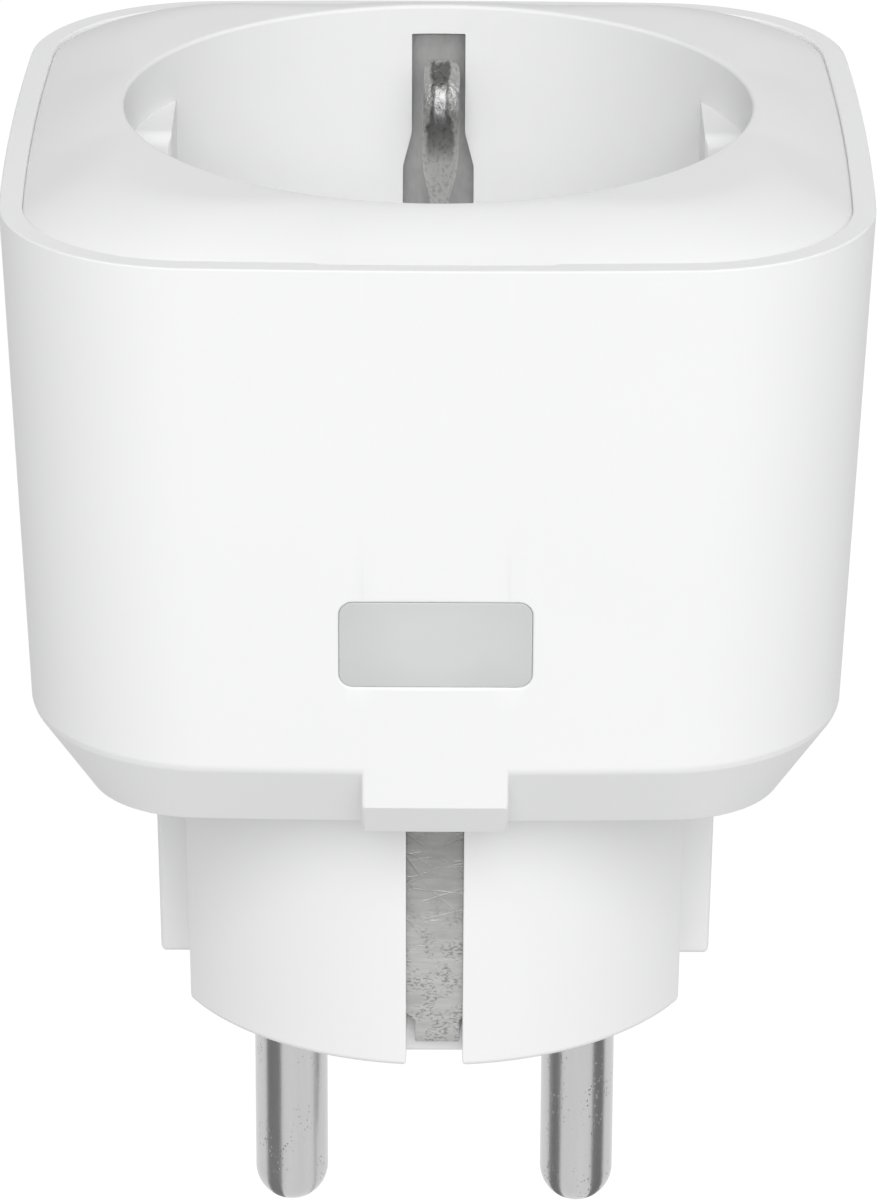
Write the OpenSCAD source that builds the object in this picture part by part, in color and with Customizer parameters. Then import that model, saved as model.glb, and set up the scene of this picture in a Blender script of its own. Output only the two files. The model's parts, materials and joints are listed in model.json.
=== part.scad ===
// Plug-in power meter: a round earthed plug and a matching socket in one white housing,
// with a lit push button in the front wall and the metering circuit inside.
// Frame: origin at the centre of the plug face, +Z toward the socket, -Y toward the button.

/* [Housing] */
// Width of the housing across its rim
body_w = 53.2; // [53:0.1:54]
// Depth of the housing across its rim, front to back
body_d = 53.0; // [52.8:0.1:53.6]
// Width of the housing at the crease where the lower chamfer ends
crease_w = 50.8; // [50.2:0.1:51]
// Width of the flat underside around the plug
base_w = 43.3; // [43:0.1:44]
// Height of the housing from its underside to its rim
body_h = 37.6; // [37.2:0.1:38]
// Height of the lower chamfer
chamfer_h = 5.0; // [4.8:0.1:5.2]
// Corner radius at the rim
rim_corner = 11.8; // [11:0.1:12.5]
// Corner radius at the underside
base_corner = 6.8; // [6.5:0.1:9]
// How far each side wall bows outward at its middle
side_bulge = 0.29; // [0.1:0.01:0.35]
// Thickness of the side walls
wall = 1.8; // [1.6:0.1:1.9]
// Thickness of the floor around the plug
floor_t = 2.0; // [1.8:0.1:2.1]
// Width of the rim around the top plate
rim_w = 1.4; // [1.3:0.05:1.5]
// Width of the tab at the bottom of the front wall
tab_w = 8.9; // [8:0.1:10]

/* [Plug] */
// Radius of the plug body at its face
plug_r = 18.0; // [17.8:0.05:18.1]
// Radius of the plug body where it meets the housing
plug_root_r = 18.3; // [18.2:0.05:18.4]
// Length of the plug body below the housing
plug_len = 18.8; // [18.6:0.1:19]
// Distance from the centre to each side flat at the plug face
flat_x = 15.7; // [15.6:0.05:15.8]
// Width of the guide rib in the middle of each side flat
guide_rib_w = 3.8; // [3.6:0.1:4]
// Wall of the plug body
plug_wall = 1.6; // [1.5:0.1:1.7]
// Thickness of the plug face
face_t = 3.0; // [2.8:0.1:3.2]

/* [Pins] */
// Distance between the two pin axes
pin_spacing = 19.0; // [19:0.1:19.2]
// Radius of each pin
pin_r = 2.4; // [2.4:0.01:2.45]
// Length of each pin beyond the plug face
pin_len = 19.0; // [18.8:0.1:19.2]
// Radius of the pin holes in the socket floor
pin_hole_r = 2.7; // [2.6:0.05:2.8]

/* [Socket] */
// Radius of the socket recess
recess_r = 19.5; // [19.4:0.05:19.6]
// Depth of the socket recess
recess_depth = 17.5; // [17.2:0.1:17.6]
// Rise of the domed top plate above the rim
dome_rise = 1.8; // [1.7:0.1:2]
// Distance from the centre to the flat of each keying rib
key_x = 16.75; // [16.5:0.05:16.9]
// Width of the groove between the keying ribs
key_groove_w = 6.0; // [5.6:0.1:6.4]
// Depth of the keying ribs below the top of the plate
key_drop = 3.4; // [3:0.1:4]
// Radius of the recess wall on its outside
cup_r = 21.0; // [20.9:0.05:21]

/* [Earthing] */
// Width of the earth strips on the plug
strip_w = 3.5; // [3.3:0.05:3.5]
// Distance from the centre to the outer face of the earth strips
strip_y = 17.2; // [17.1:0.05:17.3]
// Thickness of the earthing sheet
strip_t = 0.8; // [0.7:0.05:0.8]
// Width of the earth clips in the socket
clip_w = 2.35; // [2.2:0.05:2.6]
// Thickness of the earth clips
clip_t = 0.5; // [0.4:0.05:0.5]

/* [Button] */
// Width of the window in the front wall
window_w = 11.6; // [11:0.1:12]
// Height of the window in the front wall
window_h = 5.6; // [5.2:0.1:6]
// Height of the window's middle above the housing's underside
window_up = 13.5; // [13.3:0.1:13.7]
// Corner radius of the window
window_r = 0.85; // [0.6:0.05:1.2]
// Clearance around the button
button_gap = 0.15; // [0.12:0.01:0.2]

/* [Fasteners] */
// Distance of each housing screw from the centre, along X and along Y
screw_xy = 16.5; // [16.4:0.1:16.6]
// Radius of the screw heads
head_r = 2.2; // [2:0.1:2.3]
// Radius of the screw shanks
shank_r = 1.2; // [1:0.05:1.2]

/* [Hidden] */

$fn = 96;
film = 0.01;                                // overlap that makes joined solids one
cut = 1;                                    // how far cutters run past a surface

// Heights, from the plug face upward
base_z = plug_len;
crease_z = base_z + chamfer_h;
rim_z = base_z + body_h;
top_z = rim_z + dome_rise;
recess_z = top_z - recess_depth;
cup_floor_t = 2.2;
cup_under_z = recess_z - cup_floor_t;
plate_edge_z = rim_z - 0.25;                // the plate's edge lies just below the rim
seat_z = rim_z - 2.05;                      // ledge that carries the plate
floor_top_z = base_z + floor_t;
flange_top_z = floor_top_z + 1.5;
pcb_z = flange_top_z + 1.7;                 // underside of the power board
pcb_t = 1.6;
pcb_top_z = pcb_z + pcb_t;
cover_z = cup_under_z - 4.2;                // underside of the shutter cover
cover_t = 1.0;
post_foot_z = floor_top_z + 2.4;
tower_top_z = floor_top_z + 2.2;
screw_seat_z = base_z + 2.4;

pin_x = pin_spacing / 2;
pin_neck_r = pin_r - 0.2;                   // the part of a pin held in the plug face
pin_tail_r = 1.6;                           // the part that reaches its bar
window_z = base_z + window_up;
flange_r = 19.6;
plate_half = body_w / 2 - rim_w - 0.1;
plate_corner = rim_corner - rim_w - 0.1;
slot_w = strip_w + 0.1;
strip_in = strip_y - strip_t;
upright_y = cup_r + 0.3;
clip_root = [cup_r - 0.4, cup_under_z];     // [y, z] of the clip's rolled root
clip_root_r = 0.6;

// Planes of the button mechanism, along Y
control_board_y = -20.2;                    // front face of the control board
control_board_t = 1.2;
flange_y = -23.4;                           // front of the button's flange
flange_back_y = -22.65;
plunger_tip_y = -21.9;
switch_front_y = -21.2;
shroud_front_y = -22.0;

// Pick a value between two others
function mix(a, b, t) = a + (b - a) * t;
function turned(p, a) = [p.x * cos(a) - p.y * sin(a), p.x * sin(a) + p.y * cos(a)];

// Half width of the housing's outside at a height
function outer_half(z) = z < crease_z
    ? mix(base_w, crease_w, (z - base_z) / chamfer_h) / 2
    : mix(crease_w, body_w, (z - crease_z) / (rim_z - crease_z)) / 2;
// Depth of the front wall's outer face at a height
function front_y(z) = -outer_half(max(z, crease_z)) * body_d / body_w;
function corner_at(z) = z < crease_z
    ? mix(base_corner, rim_corner, (z - base_z) / chamfer_h)
    : rim_corner;

// Points of a square with round corners and slightly bowed sides
function side_points(half, corner, bulge) =
    [for (i = [-3:3]) [half - bulge * pow(i / 3, 2), (half - corner) * i / 3]];
function corner_points(half, corner, bulge) =
    [for (a = [10:10:80]) (half - corner) * [1, 1] + (corner - bulge) * [cos(a), sin(a)]];
function outline(half, corner, bulge) =
    [for (q = [0:3])
        for (p = concat(side_points(half, corner, bulge), corner_points(half, corner, bulge)))
            let (t = turned(p, 90 * q)) [t.x, t.y * body_d / body_w]];

// Points of a ribbon of thickness t along a path
function heading(path, i) =
    let (d = path[min(i + 1, len(path) - 1)] - path[max(i - 1, 0)]) d / norm(d);
function beside(path, i, d) = path[i] + d * [-heading(path, i).y, heading(path, i).x];
function ribbon(path, t) = concat(
    [for (i = [0:len(path) - 1]) beside(path, i, t / 2)],
    [for (i = [len(path) - 1:-1:0]) beside(path, i, -t / 2)]);

// Points of a curve from a to c that leans toward b
function bend(a, b, c, steps) =
    [for (i = [0:steps]) let (t = i / steps) mix(mix(a, b, t), mix(b, c, t), t)];

// Closed solid through a stack of outlines, each given as [height, half width, corner radius]
module loft(levels) {
    rings = [for (l = levels) [for (p = outline(l[1], l[2], side_bulge)) [p.x, p.y, l[0]]]];
    n = len(rings[0]);
    last = len(rings) - 1;
    polyhedron(
        points = [for (ring = rings) each ring],
        faces = concat(
            [[for (i = [0:n - 1]) i]],
            [[for (i = [n - 1:-1:0]) last * n + i]],
            [for (k = [0:last - 1]) for (i = [0:n - 1]) let (j = (i + 1) % n)
                each [[k * n + i, k * n + n + i, k * n + n + j], [k * n + i, k * n + n + j, k * n + j]]]));
}

// Box given by its lower and upper corners
module box(low, high) {
    translate(low) cube(high - low);
}

// Cylinder that stands at a point
module rod(at, r, h) {
    translate(at) cylinder(r = r, h = h);
}

// Flat outline with round corners, centred
module rounded_rect(w, h, r) {
    square([w - 2 * r, h], center = true);
    square([w, h - 2 * r], center = true);
    for (x = [-1, 1], y = [-1, 1])
        translate([x * (w / 2 - r), y * (h / 2 - r)]) circle(r, $fn = 32);
}

// Profile drawn as [y, z] points, drawn out along X about the middle
module along_x(width) {
    rotate([90, 0, 90]) translate([0, 0, -width / 2]) linear_extrude(width) children();
}

// Profile drawn as [x, z], drawn out along Y from one plane to another
module along_y(from, to) {
    translate([0, to, 0]) rotate([90, 0, 0]) linear_extrude(to - from) children();
}

// Copies at the four screw places
module at_screws() {
    for (x = [-1, 1], y = [-1, 1]) translate([x * screw_xy, y * screw_xy, 0]) children();
}

// Copies on the two pin axes
module at_pins() {
    for (s = [-1, 1]) translate([s * pin_x, 0, 0]) children();
}

// Copies on the front and the rear
module front_and_rear() {
    children();
    mirror([0, 1, 0]) children();
}

// Copies on the left and the right
module left_and_right() {
    children();
    mirror([1, 0, 0]) children();
}

// Flat outline raised into a plate of thickness h
module plate_at(z, h) {
    translate([0, 0, z]) linear_extrude(h) children();
}

// Cylinder whose axis runs along Y from one plane to another
module rod_along_y(z, r, from, to) {
    translate([0, to, z]) rotate([90, 0, 0]) cylinder(r = r, h = to - from);
}

// ---- Housing ----

module housing_solid() {
    loft([for (z = [base_z, crease_z, rim_z]) [z, outer_half(z), corner_at(z)]]);
}

module housing_cavity() {
    loft([for (z = [floor_top_z, crease_z, seat_z + film])
        [z, outer_half(z) - wall, corner_at(z) - wall]]);
}

module front_tab() {
    bevel_z = base_z + 2.6;
    along_x(tab_w) polygon([
        [front_y(crease_z), crease_z], [front_y(crease_z) + 0.1, bevel_z],
        [front_y(crease_z) + 1.9, base_z], [-base_w / 2 + cut, base_z],
        [-outer_half(crease_z) + wall, crease_z]]);
}

// Four ribs on the floor, between the plug's flange and the walls
module floor_ribs() {
    for (a = [0:90:270]) rotate(a) for (s = [-1, 1])
        box([flange_r + 0.2, s * 6 - 0.5, floor_top_z - film], [21.4, s * 6 + 0.5, floor_top_z + 1.2]);
}

module outer_shell() {
    color("white") difference() {
        union() {
            difference() {
                union() {
                    housing_solid();
                    front_tab();
                }
                housing_cavity();
            }
            at_screws() rod([0, 0, floor_top_z - film], 3.6, tower_top_z - floor_top_z);
            floor_ribs();
        }
        translate([0, 0, seat_z])
            linear_extrude(body_h)
                polygon(outline(body_w / 2 - rim_w, rim_corner - rim_w, side_bulge));
        rod([0, 0, base_z - cut], 18.6, 2 * floor_t);
        at_screws() {
            rod([0, 0, base_z - cut], head_r + 0.2, screw_seat_z - base_z + cut);
            rod([0, 0, base_z], shank_r + 0.3, 2 * floor_t + cut);
        }
        translate([0, 0, window_z])
            along_y(-body_d, -body_d / 2 + wall + 4) rounded_rect(window_w, window_h, window_r);
    }
}

// ---- Plug ----

// One side flat, as the wedge that is cut away beside the guide rib
module flat_cutters() {
    lean = atan((plug_root_r - plug_r) / plug_len);
    left_and_right() front_and_rear()
        translate([flat_x, guide_rib_w / 2, 0]) rotate([0, lean, 0])
            translate([0, 0, -cut]) cube([6, 14, base_z + cut]);
}

// Room inside the plug, with a wall behind each earth slot
module plug_cavity() {
    difference() {
        intersection() {
            rod([0, 0, face_t], plug_r - plug_wall, base_z + cut);
            box([plug_wall - flat_x, -20, face_t], [flat_x - plug_wall, 20, flange_top_z + cut]);
        }
        front_and_rear()
            box([-slot_w, strip_in - 1.9, 0], [slot_w, plug_r, flange_top_z + cut]);
    }
}

// The slot is open outward below the housing and closed in front of the strip above it
module earth_slot_cutter() {
    box([-slot_w / 2, strip_in - 0.5, -cut], [slot_w / 2, plug_r + cut, base_z]);
    box([-slot_w / 2, strip_in - 0.5, -cut], [slot_w / 2, strip_y + 0.1, flange_top_z + cut]);
}

module plug_body() {
    boss_top_z = face_t + 4;
    color("whitesmoke") difference() {
        union() {
            difference() {
                union() {
                    cylinder(r1 = plug_r - 0.35, r2 = plug_r, h = 0.35);
                    translate([0, 0, 0.35 - film])
                        cylinder(r1 = plug_r, r2 = plug_root_r, h = floor_top_z - 0.35 + film);
                }
                flat_cutters();
            }
            rod([0, 0, floor_top_z], flange_r, flange_top_z - floor_top_z);
            for (x = [-1, 1], y = [-1, 1])
                rod([x * 12.6, y * 12.6, flange_top_z - film], 1.4, pcb_z - flange_top_z + film);
        }
        difference() {
            plug_cavity();
            at_pins() rod([0, 0, 0], 4, boss_top_z);
        }
        at_pins() {
            rod([0, 0, -cut], pin_r + 0.05, cut + 0.3);
            rod([0, 0, -cut], pin_neck_r, face_t + 2 + cut);
            rod([0, 0, 0], pin_tail_r, boss_top_z + cut);
        }
        front_and_rear() earth_slot_cutter();
    }
}

module pin() {
    translate([0, 0, pin_r - pin_len]) sphere(pin_r);
    rod([0, 0, pin_r - pin_len], pin_r, pin_len - pin_r);
    rod([0, 0, -film], pin_neck_r, face_t + 2 + film);
    rod([0, 0, face_t + 1], pin_tail_r, 5);
}

module line_pin() {
    color("silver") translate([pin_x, 0, 0]) pin();
}

module neutral_pin() {
    color("silver") translate([-pin_x, 0, 0]) pin();
}

// ---- Socket ----

// Top plate: the height rises quickly at the edge and levels out toward the recess
module domed_plate() {
    dome_w = 5.0;
    steps = 6;
    loft(concat([[seat_z, plate_half, plate_corner]], [for (i = [0:steps])
        let (inset = dome_w * i / steps)
        [mix(top_z, plate_edge_z, pow(1 - i / steps, 2)), plate_half - inset, plate_corner - inset]]));
}

module plate_underside() {
    rim = 1.6;
    translate([0, 0, seat_z - cut])
        linear_extrude(top_z - 2.2 - seat_z + cut)
            polygon(outline(plate_half - rim, plate_corner - rim, side_bulge));
}

// Pairs of ribs that guide a plug's side flats
module keying_ribs() {
    rib_top_z = top_z - key_drop;
    intersection() {
        rod([0, 0, recess_z - film], recess_r + 0.2, rib_top_z - recess_z);
        left_and_right() front_and_rear()
            box([key_x, key_groove_w / 2, recess_z - cut], [recess_r + cut, recess_r, top_z]);
    }
}

// Opening for an earth clip: narrow above, wide below, through the recess wall
module clip_slot() {
    narrow = 1.72;
    wide = 2.32;
    along_y(recess_r - 1, cup_r + cut) polygon([
        [-narrow, top_z - 1.9], [-narrow, recess_z + 8.7], [-wide, recess_z + 6.3],
        [-wide, cup_under_z - cut], [wide, cup_under_z - cut], [wide, recess_z + 6.3],
        [narrow, recess_z + 8.7], [narrow, top_z - 1.9]]);
}

module socket_insert() {
    pivot_r = 1.5;
    color("white") difference() {
        union() {
            difference() {
                domed_plate();
                plate_underside();
            }
            difference() {
                rod([0, 0, cup_under_z], cup_r, top_z - 1.5 - cup_under_z);
                rod([0, 0, recess_z], recess_r, recess_depth);
            }
            at_screws() rod([0, 0, post_foot_z], 3, top_z - 1.8 - post_foot_z);
            keying_ribs();
            rod([0, 0, cover_z], pivot_r, cup_under_z + cut - cover_z);
            front_and_rear()
                rod([0, 11, cover_z + cover_t], 1.9, cup_under_z + cut - cover_z - cover_t);
        }
        difference() {
            rod([0, 0, recess_z], recess_r, recess_depth + cut);
            keying_ribs();
        }
        translate([0, 0, top_z - 0.5]) cylinder(r1 = recess_r, r2 = recess_r + 0.52, h = 0.52);
        at_pins() rod([0, 0, cup_under_z - cut], pin_hole_r, cup_floor_t + 2 * cut);
        at_screws() rod([0, 0, post_foot_z - cut], shank_r + 0.05, 9);
        front_and_rear() {
            clip_slot();
            rod([0, 11, cover_z], 0.8, 4);
        }
    }
}

// ---- Earthing ----

// Strip on the plug with a narrow foot, as [x, z]
module strip_outline(top) {
    foot_z = 1.4;
    half = strip_w / 2;
    foot = 1.4;
    polygon([[-foot + 0.3, foot_z], [-foot, foot_z + 0.3], [-foot, foot_z + 1.6],
        [-half, foot_z + 2.3], [-half, top], [half, top], [half, foot_z + 2.3],
        [foot, foot_z + 1.6], [foot, foot_z + 0.3], [foot - 0.3, foot_z]]);
}

module earth_bracket() {
    run_z = cup_under_z - 1.5;
    strap_z = 30.6;
    color("silver") {
        front_and_rear() {
            along_y(strip_in, strip_y) strip_outline(run_z + strip_t);
            box([-1.75, strip_in, run_z], [1.75, upright_y + strip_t, run_z + strip_t]);
            along_y(upright_y, upright_y + strip_t)
                translate([0, (run_z + top_z - 2.5) / 2])
                    rounded_rect(6, top_z - 2.5 - run_z, 0.8);
        }
        box([-2.5, -strip_in - film, strap_z], [2.5, strip_in + film, strap_z + strip_t]);
    }
}

// Path of the clip as [y, z]: leans inward, bulges toward the plug, leans back at the tip
function clip_path() = concat(
    [clip_root + [-0.35, 0.3]],
    bend([17.35, top_z - 10.0], [15.85, top_z - 6.8], [17.4, top_z - 4.9], 10),
    [[19.3, top_z - 3.7]]);

module clip() {
    half = clip_w / 2;
    neck = 0.7;
    waist = 0.95;
    intersection() {
        along_x(4) polygon(ribbon(clip_path(), clip_t));
        along_y(10, 24) polygon([
            [-1.6, clip_root.y - cut], [-1.6, clip_root.y + 2.2], [-neck, clip_root.y + 4.5],
            [-neck, top_z - 14], [-waist, top_z - 12.6], [-half, top_z - 10.2], [-half, top_z],
            [half, top_z], [half, top_z - 10.2], [waist, top_z - 12.6], [neck, top_z - 14],
            [neck, clip_root.y + 4.5],
            [1.6, clip_root.y + 2.2], [1.6, clip_root.y - cut]]);
    }
    translate([-1.6, clip_root.x, clip_root.y]) rotate([0, 90, 0])
        cylinder(r = clip_root_r, h = 3.2, $fn = 32);
}

module earth_clip_front() {
    color("silver") mirror([0, 1, 0]) clip();
}

module earth_clip_rear() {
    color("silver") clip();
}

// ---- Socket contacts ----

// Slit sleeve that grips a pin, with a leg soldered to the power board
module contact(slit_angle) {
    low_z = pcb_top_z + 1.4;
    high_z = cover_z - 0.4;
    difference() {
        union() {
            rod([0, 0, low_z], 3.2, high_z - low_z);
            box([-1.5, -3.9, pcb_top_z], [1.5, -2.9, high_z - 1]);
        }
        rod([0, 0, low_z - cut], pin_r + 0.05, high_z - low_z + 2 * cut);
        translate([0, 0, high_z - 0.6]) cylinder(r1 = pin_r + 0.05, r2 = 2.95, h = 0.62);
        rotate(slit_angle) box([0, -0.5, low_z - cut], [6, 0.5, high_z + cut]);
    }
}

module line_contact() {
    color("peru") translate([pin_x, 0, 0]) contact(0);
}

module neutral_contact() {
    color("peru") translate([-pin_x, 0, 0]) rotate(180) contact(0);
}

// ---- Shutter ----

wing_half_angle = 19;

module shutter_rotor() {
    low_z = cover_z + cover_t + 0.2;
    high_z = cup_under_z - 0.3;
    color("ivory") difference() {
        union() {
            rod([0, 0, low_z], 5.4, high_z - low_z);
            for (a = [0, 180]) rotate(a - wing_half_angle)
                rotate_extrude(angle = 2 * wing_half_angle)
                    translate([5, high_z - 1.5]) square([7.5, 1.5]);
        }
        rod([0, 0, low_z - cut], 1.55, 5);
        difference() {
            rod([0, 0, low_z - cut], 4.3, 2.0 + cut);
            rod([0, 0, low_z - cut], 2.1, 2.0 + 2 * cut);
        }
    }
}

// Round wire along a path of points, closed at both ends
module wire(path, r, sides) {
    function across(i) = let (
        d = path[min(i + 1, len(path) - 1)] - path[max(i - 1, 0)],
        side = cross(d, [0, 0, 1])) side / norm(side);
    function up(i) = let (
        d = path[min(i + 1, len(path) - 1)] - path[max(i - 1, 0)],
        v = cross(across(i), d)) v / norm(v);
    last = len(path) - 1;
    polyhedron(
        points = [for (i = [0:last]) for (s = [0:sides - 1])
            path[i] + r * (cos(360 * s / sides) * across(i) + sin(360 * s / sides) * up(i))],
        faces = concat(
            [[for (s = [0:sides - 1]) s]],
            [[for (s = [sides - 1:-1:0]) last * sides + s]],
            [for (i = [0:last - 1]) for (s = [0:sides - 1]) let (n = (s + 1) % sides)
                [i * sides + s, (i + 1) * sides + s, (i + 1) * sides + n, i * sides + n]]));
}

// Torsion spring in the rotor's pocket
module shutter_spring() {
    turns = 2;
    coil_r = 3.2;
    low_z = cover_z + cover_t + 0.55;
    color("gray") wire([for (a = [0:15:360 * turns])
        [coil_r * cos(a), coil_r * sin(a), low_z + 1.2 * a / (360 * turns)]], 0.22, 8);
}

module shutter_cover() {
    color("white") difference() {
        rod([0, 0, cover_z], 13, cover_t);
        rod([0, 0, cover_z - cut], 1.55, 3);
        at_pins() rod([0, 0, cover_z - cut], 3.2, 3);
        front_and_rear() rod([0, 11, cover_z - cut], 0.9, 3);
    }
}

// Pan-head screw with a cross recess, head down, its shank upward from seat
module screw(seat, head_radius, head_h, radius, length) {
    difference() {
        union() {
            rod([0, 0, seat - head_h], head_radius, head_h);
            rod([0, 0, seat - film], radius, length);
        }
        for (a = [0, 90]) rotate(a)
            box([-head_radius * 0.6, -0.3, seat - head_h - cut],
                [head_radius * 0.6, 0.3, seat - head_h * 0.45]);
    }
}

module cover_screws() {
    color("lightgray") front_and_rear()
        translate([0, 11, 0]) screw(cover_z, 1.6, 1.1, 0.75, 3.4);
}

module housing_screws() {
    color("lightgray") at_screws() screw(screw_seat_z, head_r, 1.6, shank_r, 9);
}

// ---- Power board and what it carries ----

module power_board() {
    half = 21;
    color("seagreen") translate([0, 0, pcb_z]) linear_extrude(pcb_t) difference() {
        rounded_rect(2 * half, 2 * half, 4);
        at_pins() circle(3.0);
        at_screws() circle(3.5);
        for (s = [-1, 1]) {
            translate([0, s * (strip_y - strip_t / 2)]) square([4.6, 1.6], center = true);
            translate([s * pin_x, -s * 8]) square([4.3, 1.1], center = true);
        }
    }
}

// Sealed relay that hangs in the plug, with five short pins into the board
module relay() {
    body_low_z = 9;
    color("royalblue") {
        difference() {
            box([-5, -13, body_low_z], [5, 7, pcb_z - 0.4]);
            rod([3.4, -11.4, body_low_z - cut], 0.5, cut + 0.6);
        }
        for (x = [-3.6, 3.6], y = [-11, 5])
            box([x - 0.5, y - 0.5, pcb_z - 0.5], [x + 0.5, y + 0.5, pcb_z]);
    }
}

// Mains filter capacitor beside the relay
module line_capacitor() {
    color("khaki") {
        box([-6.5, 8.2, 12.5], [6.5, 13.2, pcb_z - 0.4]);
        for (x = [-5, 5]) rod([x, 10.7, pcb_z - 0.5], 0.4, 0.5);
    }
}

module bulk_capacitors() {
    color("dimgray") for (s = [-1, 1]) translate([s * 15.6, 8.8, 0]) {
        difference() {
            rod([0, 0, pcb_top_z], 4, 8.5);
            for (a = [0, 90]) rotate(a)
                box([-2.4, -0.15, pcb_top_z + 8.2], [2.4, 0.15, pcb_top_z + 9]);
        }
    }
}

// Drum core between two cheeks, with its winding
module power_inductor() {
    color("saddlebrown") translate([-15.8, -8.2, 0]) {
        rod([0, 0, pcb_top_z], 4, 1);
        rod([0, 0, pcb_top_z + 6], 4, 1);
        rod([0, 0, pcb_top_z + 1 - film], 3.3, 5 + 2 * film);
    }
}

module varistor() {
    color("steelblue") {
        translate([13.6, -8.2, pcb_top_z + 5]) rotate([0, 90, 0]) cylinder(r = 4, h = 3.2);
        for (y = [-10.7, -5.7]) rod([15.2, y, pcb_top_z], 0.35, 3);
    }
}

module fuse_resistor() {
    color("olivedrab") {
        translate([-4.5, 14.2, pcb_top_z + 1.7]) rotate([0, 90, 0]) cylinder(r = 1.5, h = 9);
        for (s = [-1, 1]) rod([s * 5.1, 14.2, pcb_top_z], 0.35, 2.05);
        for (s = [-1, 1]) translate([s * 4.9 - 0.55, 14.2, pcb_top_z + 1.7]) rotate([0, 90, 0])
            cylinder(r = 0.35, h = 1.1);
    }
}

// Moulded chip with a row of legs on two sides; w along X, d along Y
module chip(at, w, d, h, legs) {
    pitch = w / legs;
    translate(at) {
        box([-w / 2, -d / 2, 0.1], [w / 2, d / 2, h]);
        front_and_rear() for (i = [0:legs - 1])
            box([-w / 2 + pitch * (i + 0.3), d / 2 - film, 0],
                [-w / 2 + pitch * (i + 0.7), d / 2 + 0.9, 0.4]);
    }
}

module rectifier() {
    color("dimgray") chip([-4.2, 9.0, pcb_top_z], 4.8, 4.0, 2.4, 2);
}

module supply_chip() {
    color("dimgray") chip([4.0, 9.0, pcb_top_z], 4.9, 3.9, 1.6, 4);
}

module metering_chip() {
    color("dimgray") chip([0, -6.6, pcb_top_z], 5.0, 3.9, 1.5, 8);
}

// Low-value bar that the load current crosses
module current_shunt() {
    color("peru") {
        box([-3.2, -13.2, pcb_top_z + 0.6], [3.2, -10.2, pcb_top_z + 1.3]);
        left_and_right() box([2.2, -13.2, pcb_top_z], [3.2, -10.2, pcb_top_z + 1.3]);
    }
}

// Strip from a pin's tail up through the power board
module pin_bar() {
    ring_z = face_t + 4;
    half = 1.8;
    difference() {
        box([-half, -8.4, ring_z], [half, 2, ring_z + 0.8]);
        rod([0, 0, ring_z - cut], pin_tail_r, 3);
    }
    box([-half, -8.4, ring_z], [half, -7.6, pcb_top_z + 1.5]);
}

module line_bar() {
    color("orange") translate([pin_x, 0, 0]) pin_bar();
}

module neutral_bar() {
    color("orange") translate([-pin_x, 0, 0]) rotate(180) pin_bar();
}

// Flat link from the relay's output to the line contact
module relay_bar() {
    color("orange") plate_at(pcb_top_z, 0.8) polygon([
        [3.6, -6.9], [pin_x + 1.5, -6.9], [pin_x + 1.5, -3.9], [pin_x - 1.5, -3.9],
        [pin_x - 1.5, -5.4], [3.6, -5.4]]);
}

// ---- Control board and what it carries ----

module control_board() {
    color("seagreen") along_y(control_board_y, control_board_y + control_board_t)
        translate([0, pcb_top_z + 5.5]) rounded_rect(25.6, 10.6, 0.8);
}

module tact_switch() {
    color("black") difference() {
        box([-2.2, switch_front_y, window_z - 2.2], [2.2, control_board_y, window_z + 2.2]);
        rod_along_y(window_z, 1.2, switch_front_y - cut, control_board_y + cut);
    }
}

module tact_plunger() {
    color("saddlebrown") rod_along_y(window_z, 1.1, plunger_tip_y, control_board_y - 0.5);
}

module status_leds() {
    color("lightyellow") for (s = [-1, 1])
        box([s * 3.6 - 0.8, control_board_y - 0.8, window_z - 0.6],
            [s * 3.6 + 0.8, control_board_y, window_z + 0.6]);
}

module light_shroud() {
    color("black") along_y(shroud_front_y, control_board_y) translate([0, window_z])
        difference() {
            rounded_rect(11.2, 6.4, 0.8);
            rounded_rect(10.0, 5.2, 0.4);
        }
}

// Small board with a screening can, on the back of the control board
module radio_module() {
    board_back_y = control_board_y + control_board_t;
    color("silver") {
        box([3.2, board_back_y, pcb_top_z + 0.8], [12.4, board_back_y + 0.5, cover_z + 1.6]);
        box([3.8, board_back_y + 0.4, pcb_top_z + 1.2], [11.8, board_back_y + 1.7, cover_z - 2.2]);
    }
}

// Meandering antenna above the screening can
module antenna() {
    face_y = control_board_y + control_board_t + 0.5;
    low_z = cover_z - 1.6;
    color("goldenrod") {
        for (i = [0:5])
            box([4.0 + 1.4 * i, face_y, low_z], [4.4 + 1.4 * i, face_y + 0.15, low_z + 2.4]);
        for (i = [0:4])
            box([4.0 + 1.4 * i, face_y, low_z + (i % 2) * 2.0],
                [5.8 + 1.4 * i, face_y + 0.15, low_z + (i % 2) * 2.0 + 0.4]);
    }
}

// Row of pins that joins the two boards
module board_header() {
    board_back_y = control_board_y + control_board_t;
    color("black") {
        box([-12.4, board_back_y, pcb_top_z], [-3.4, board_back_y + 2.5, pcb_top_z + 2.4]);
        for (i = [0:3]) {
            x = -11.3 + 2.25 * i;
            box([x - 0.3, board_back_y + 0.9, pcb_top_z + 2.4 - film],
                [x + 0.3, board_back_y + 1.5, pcb_top_z + 3.6]);
        }
    }
}

// ---- Button ----

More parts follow.
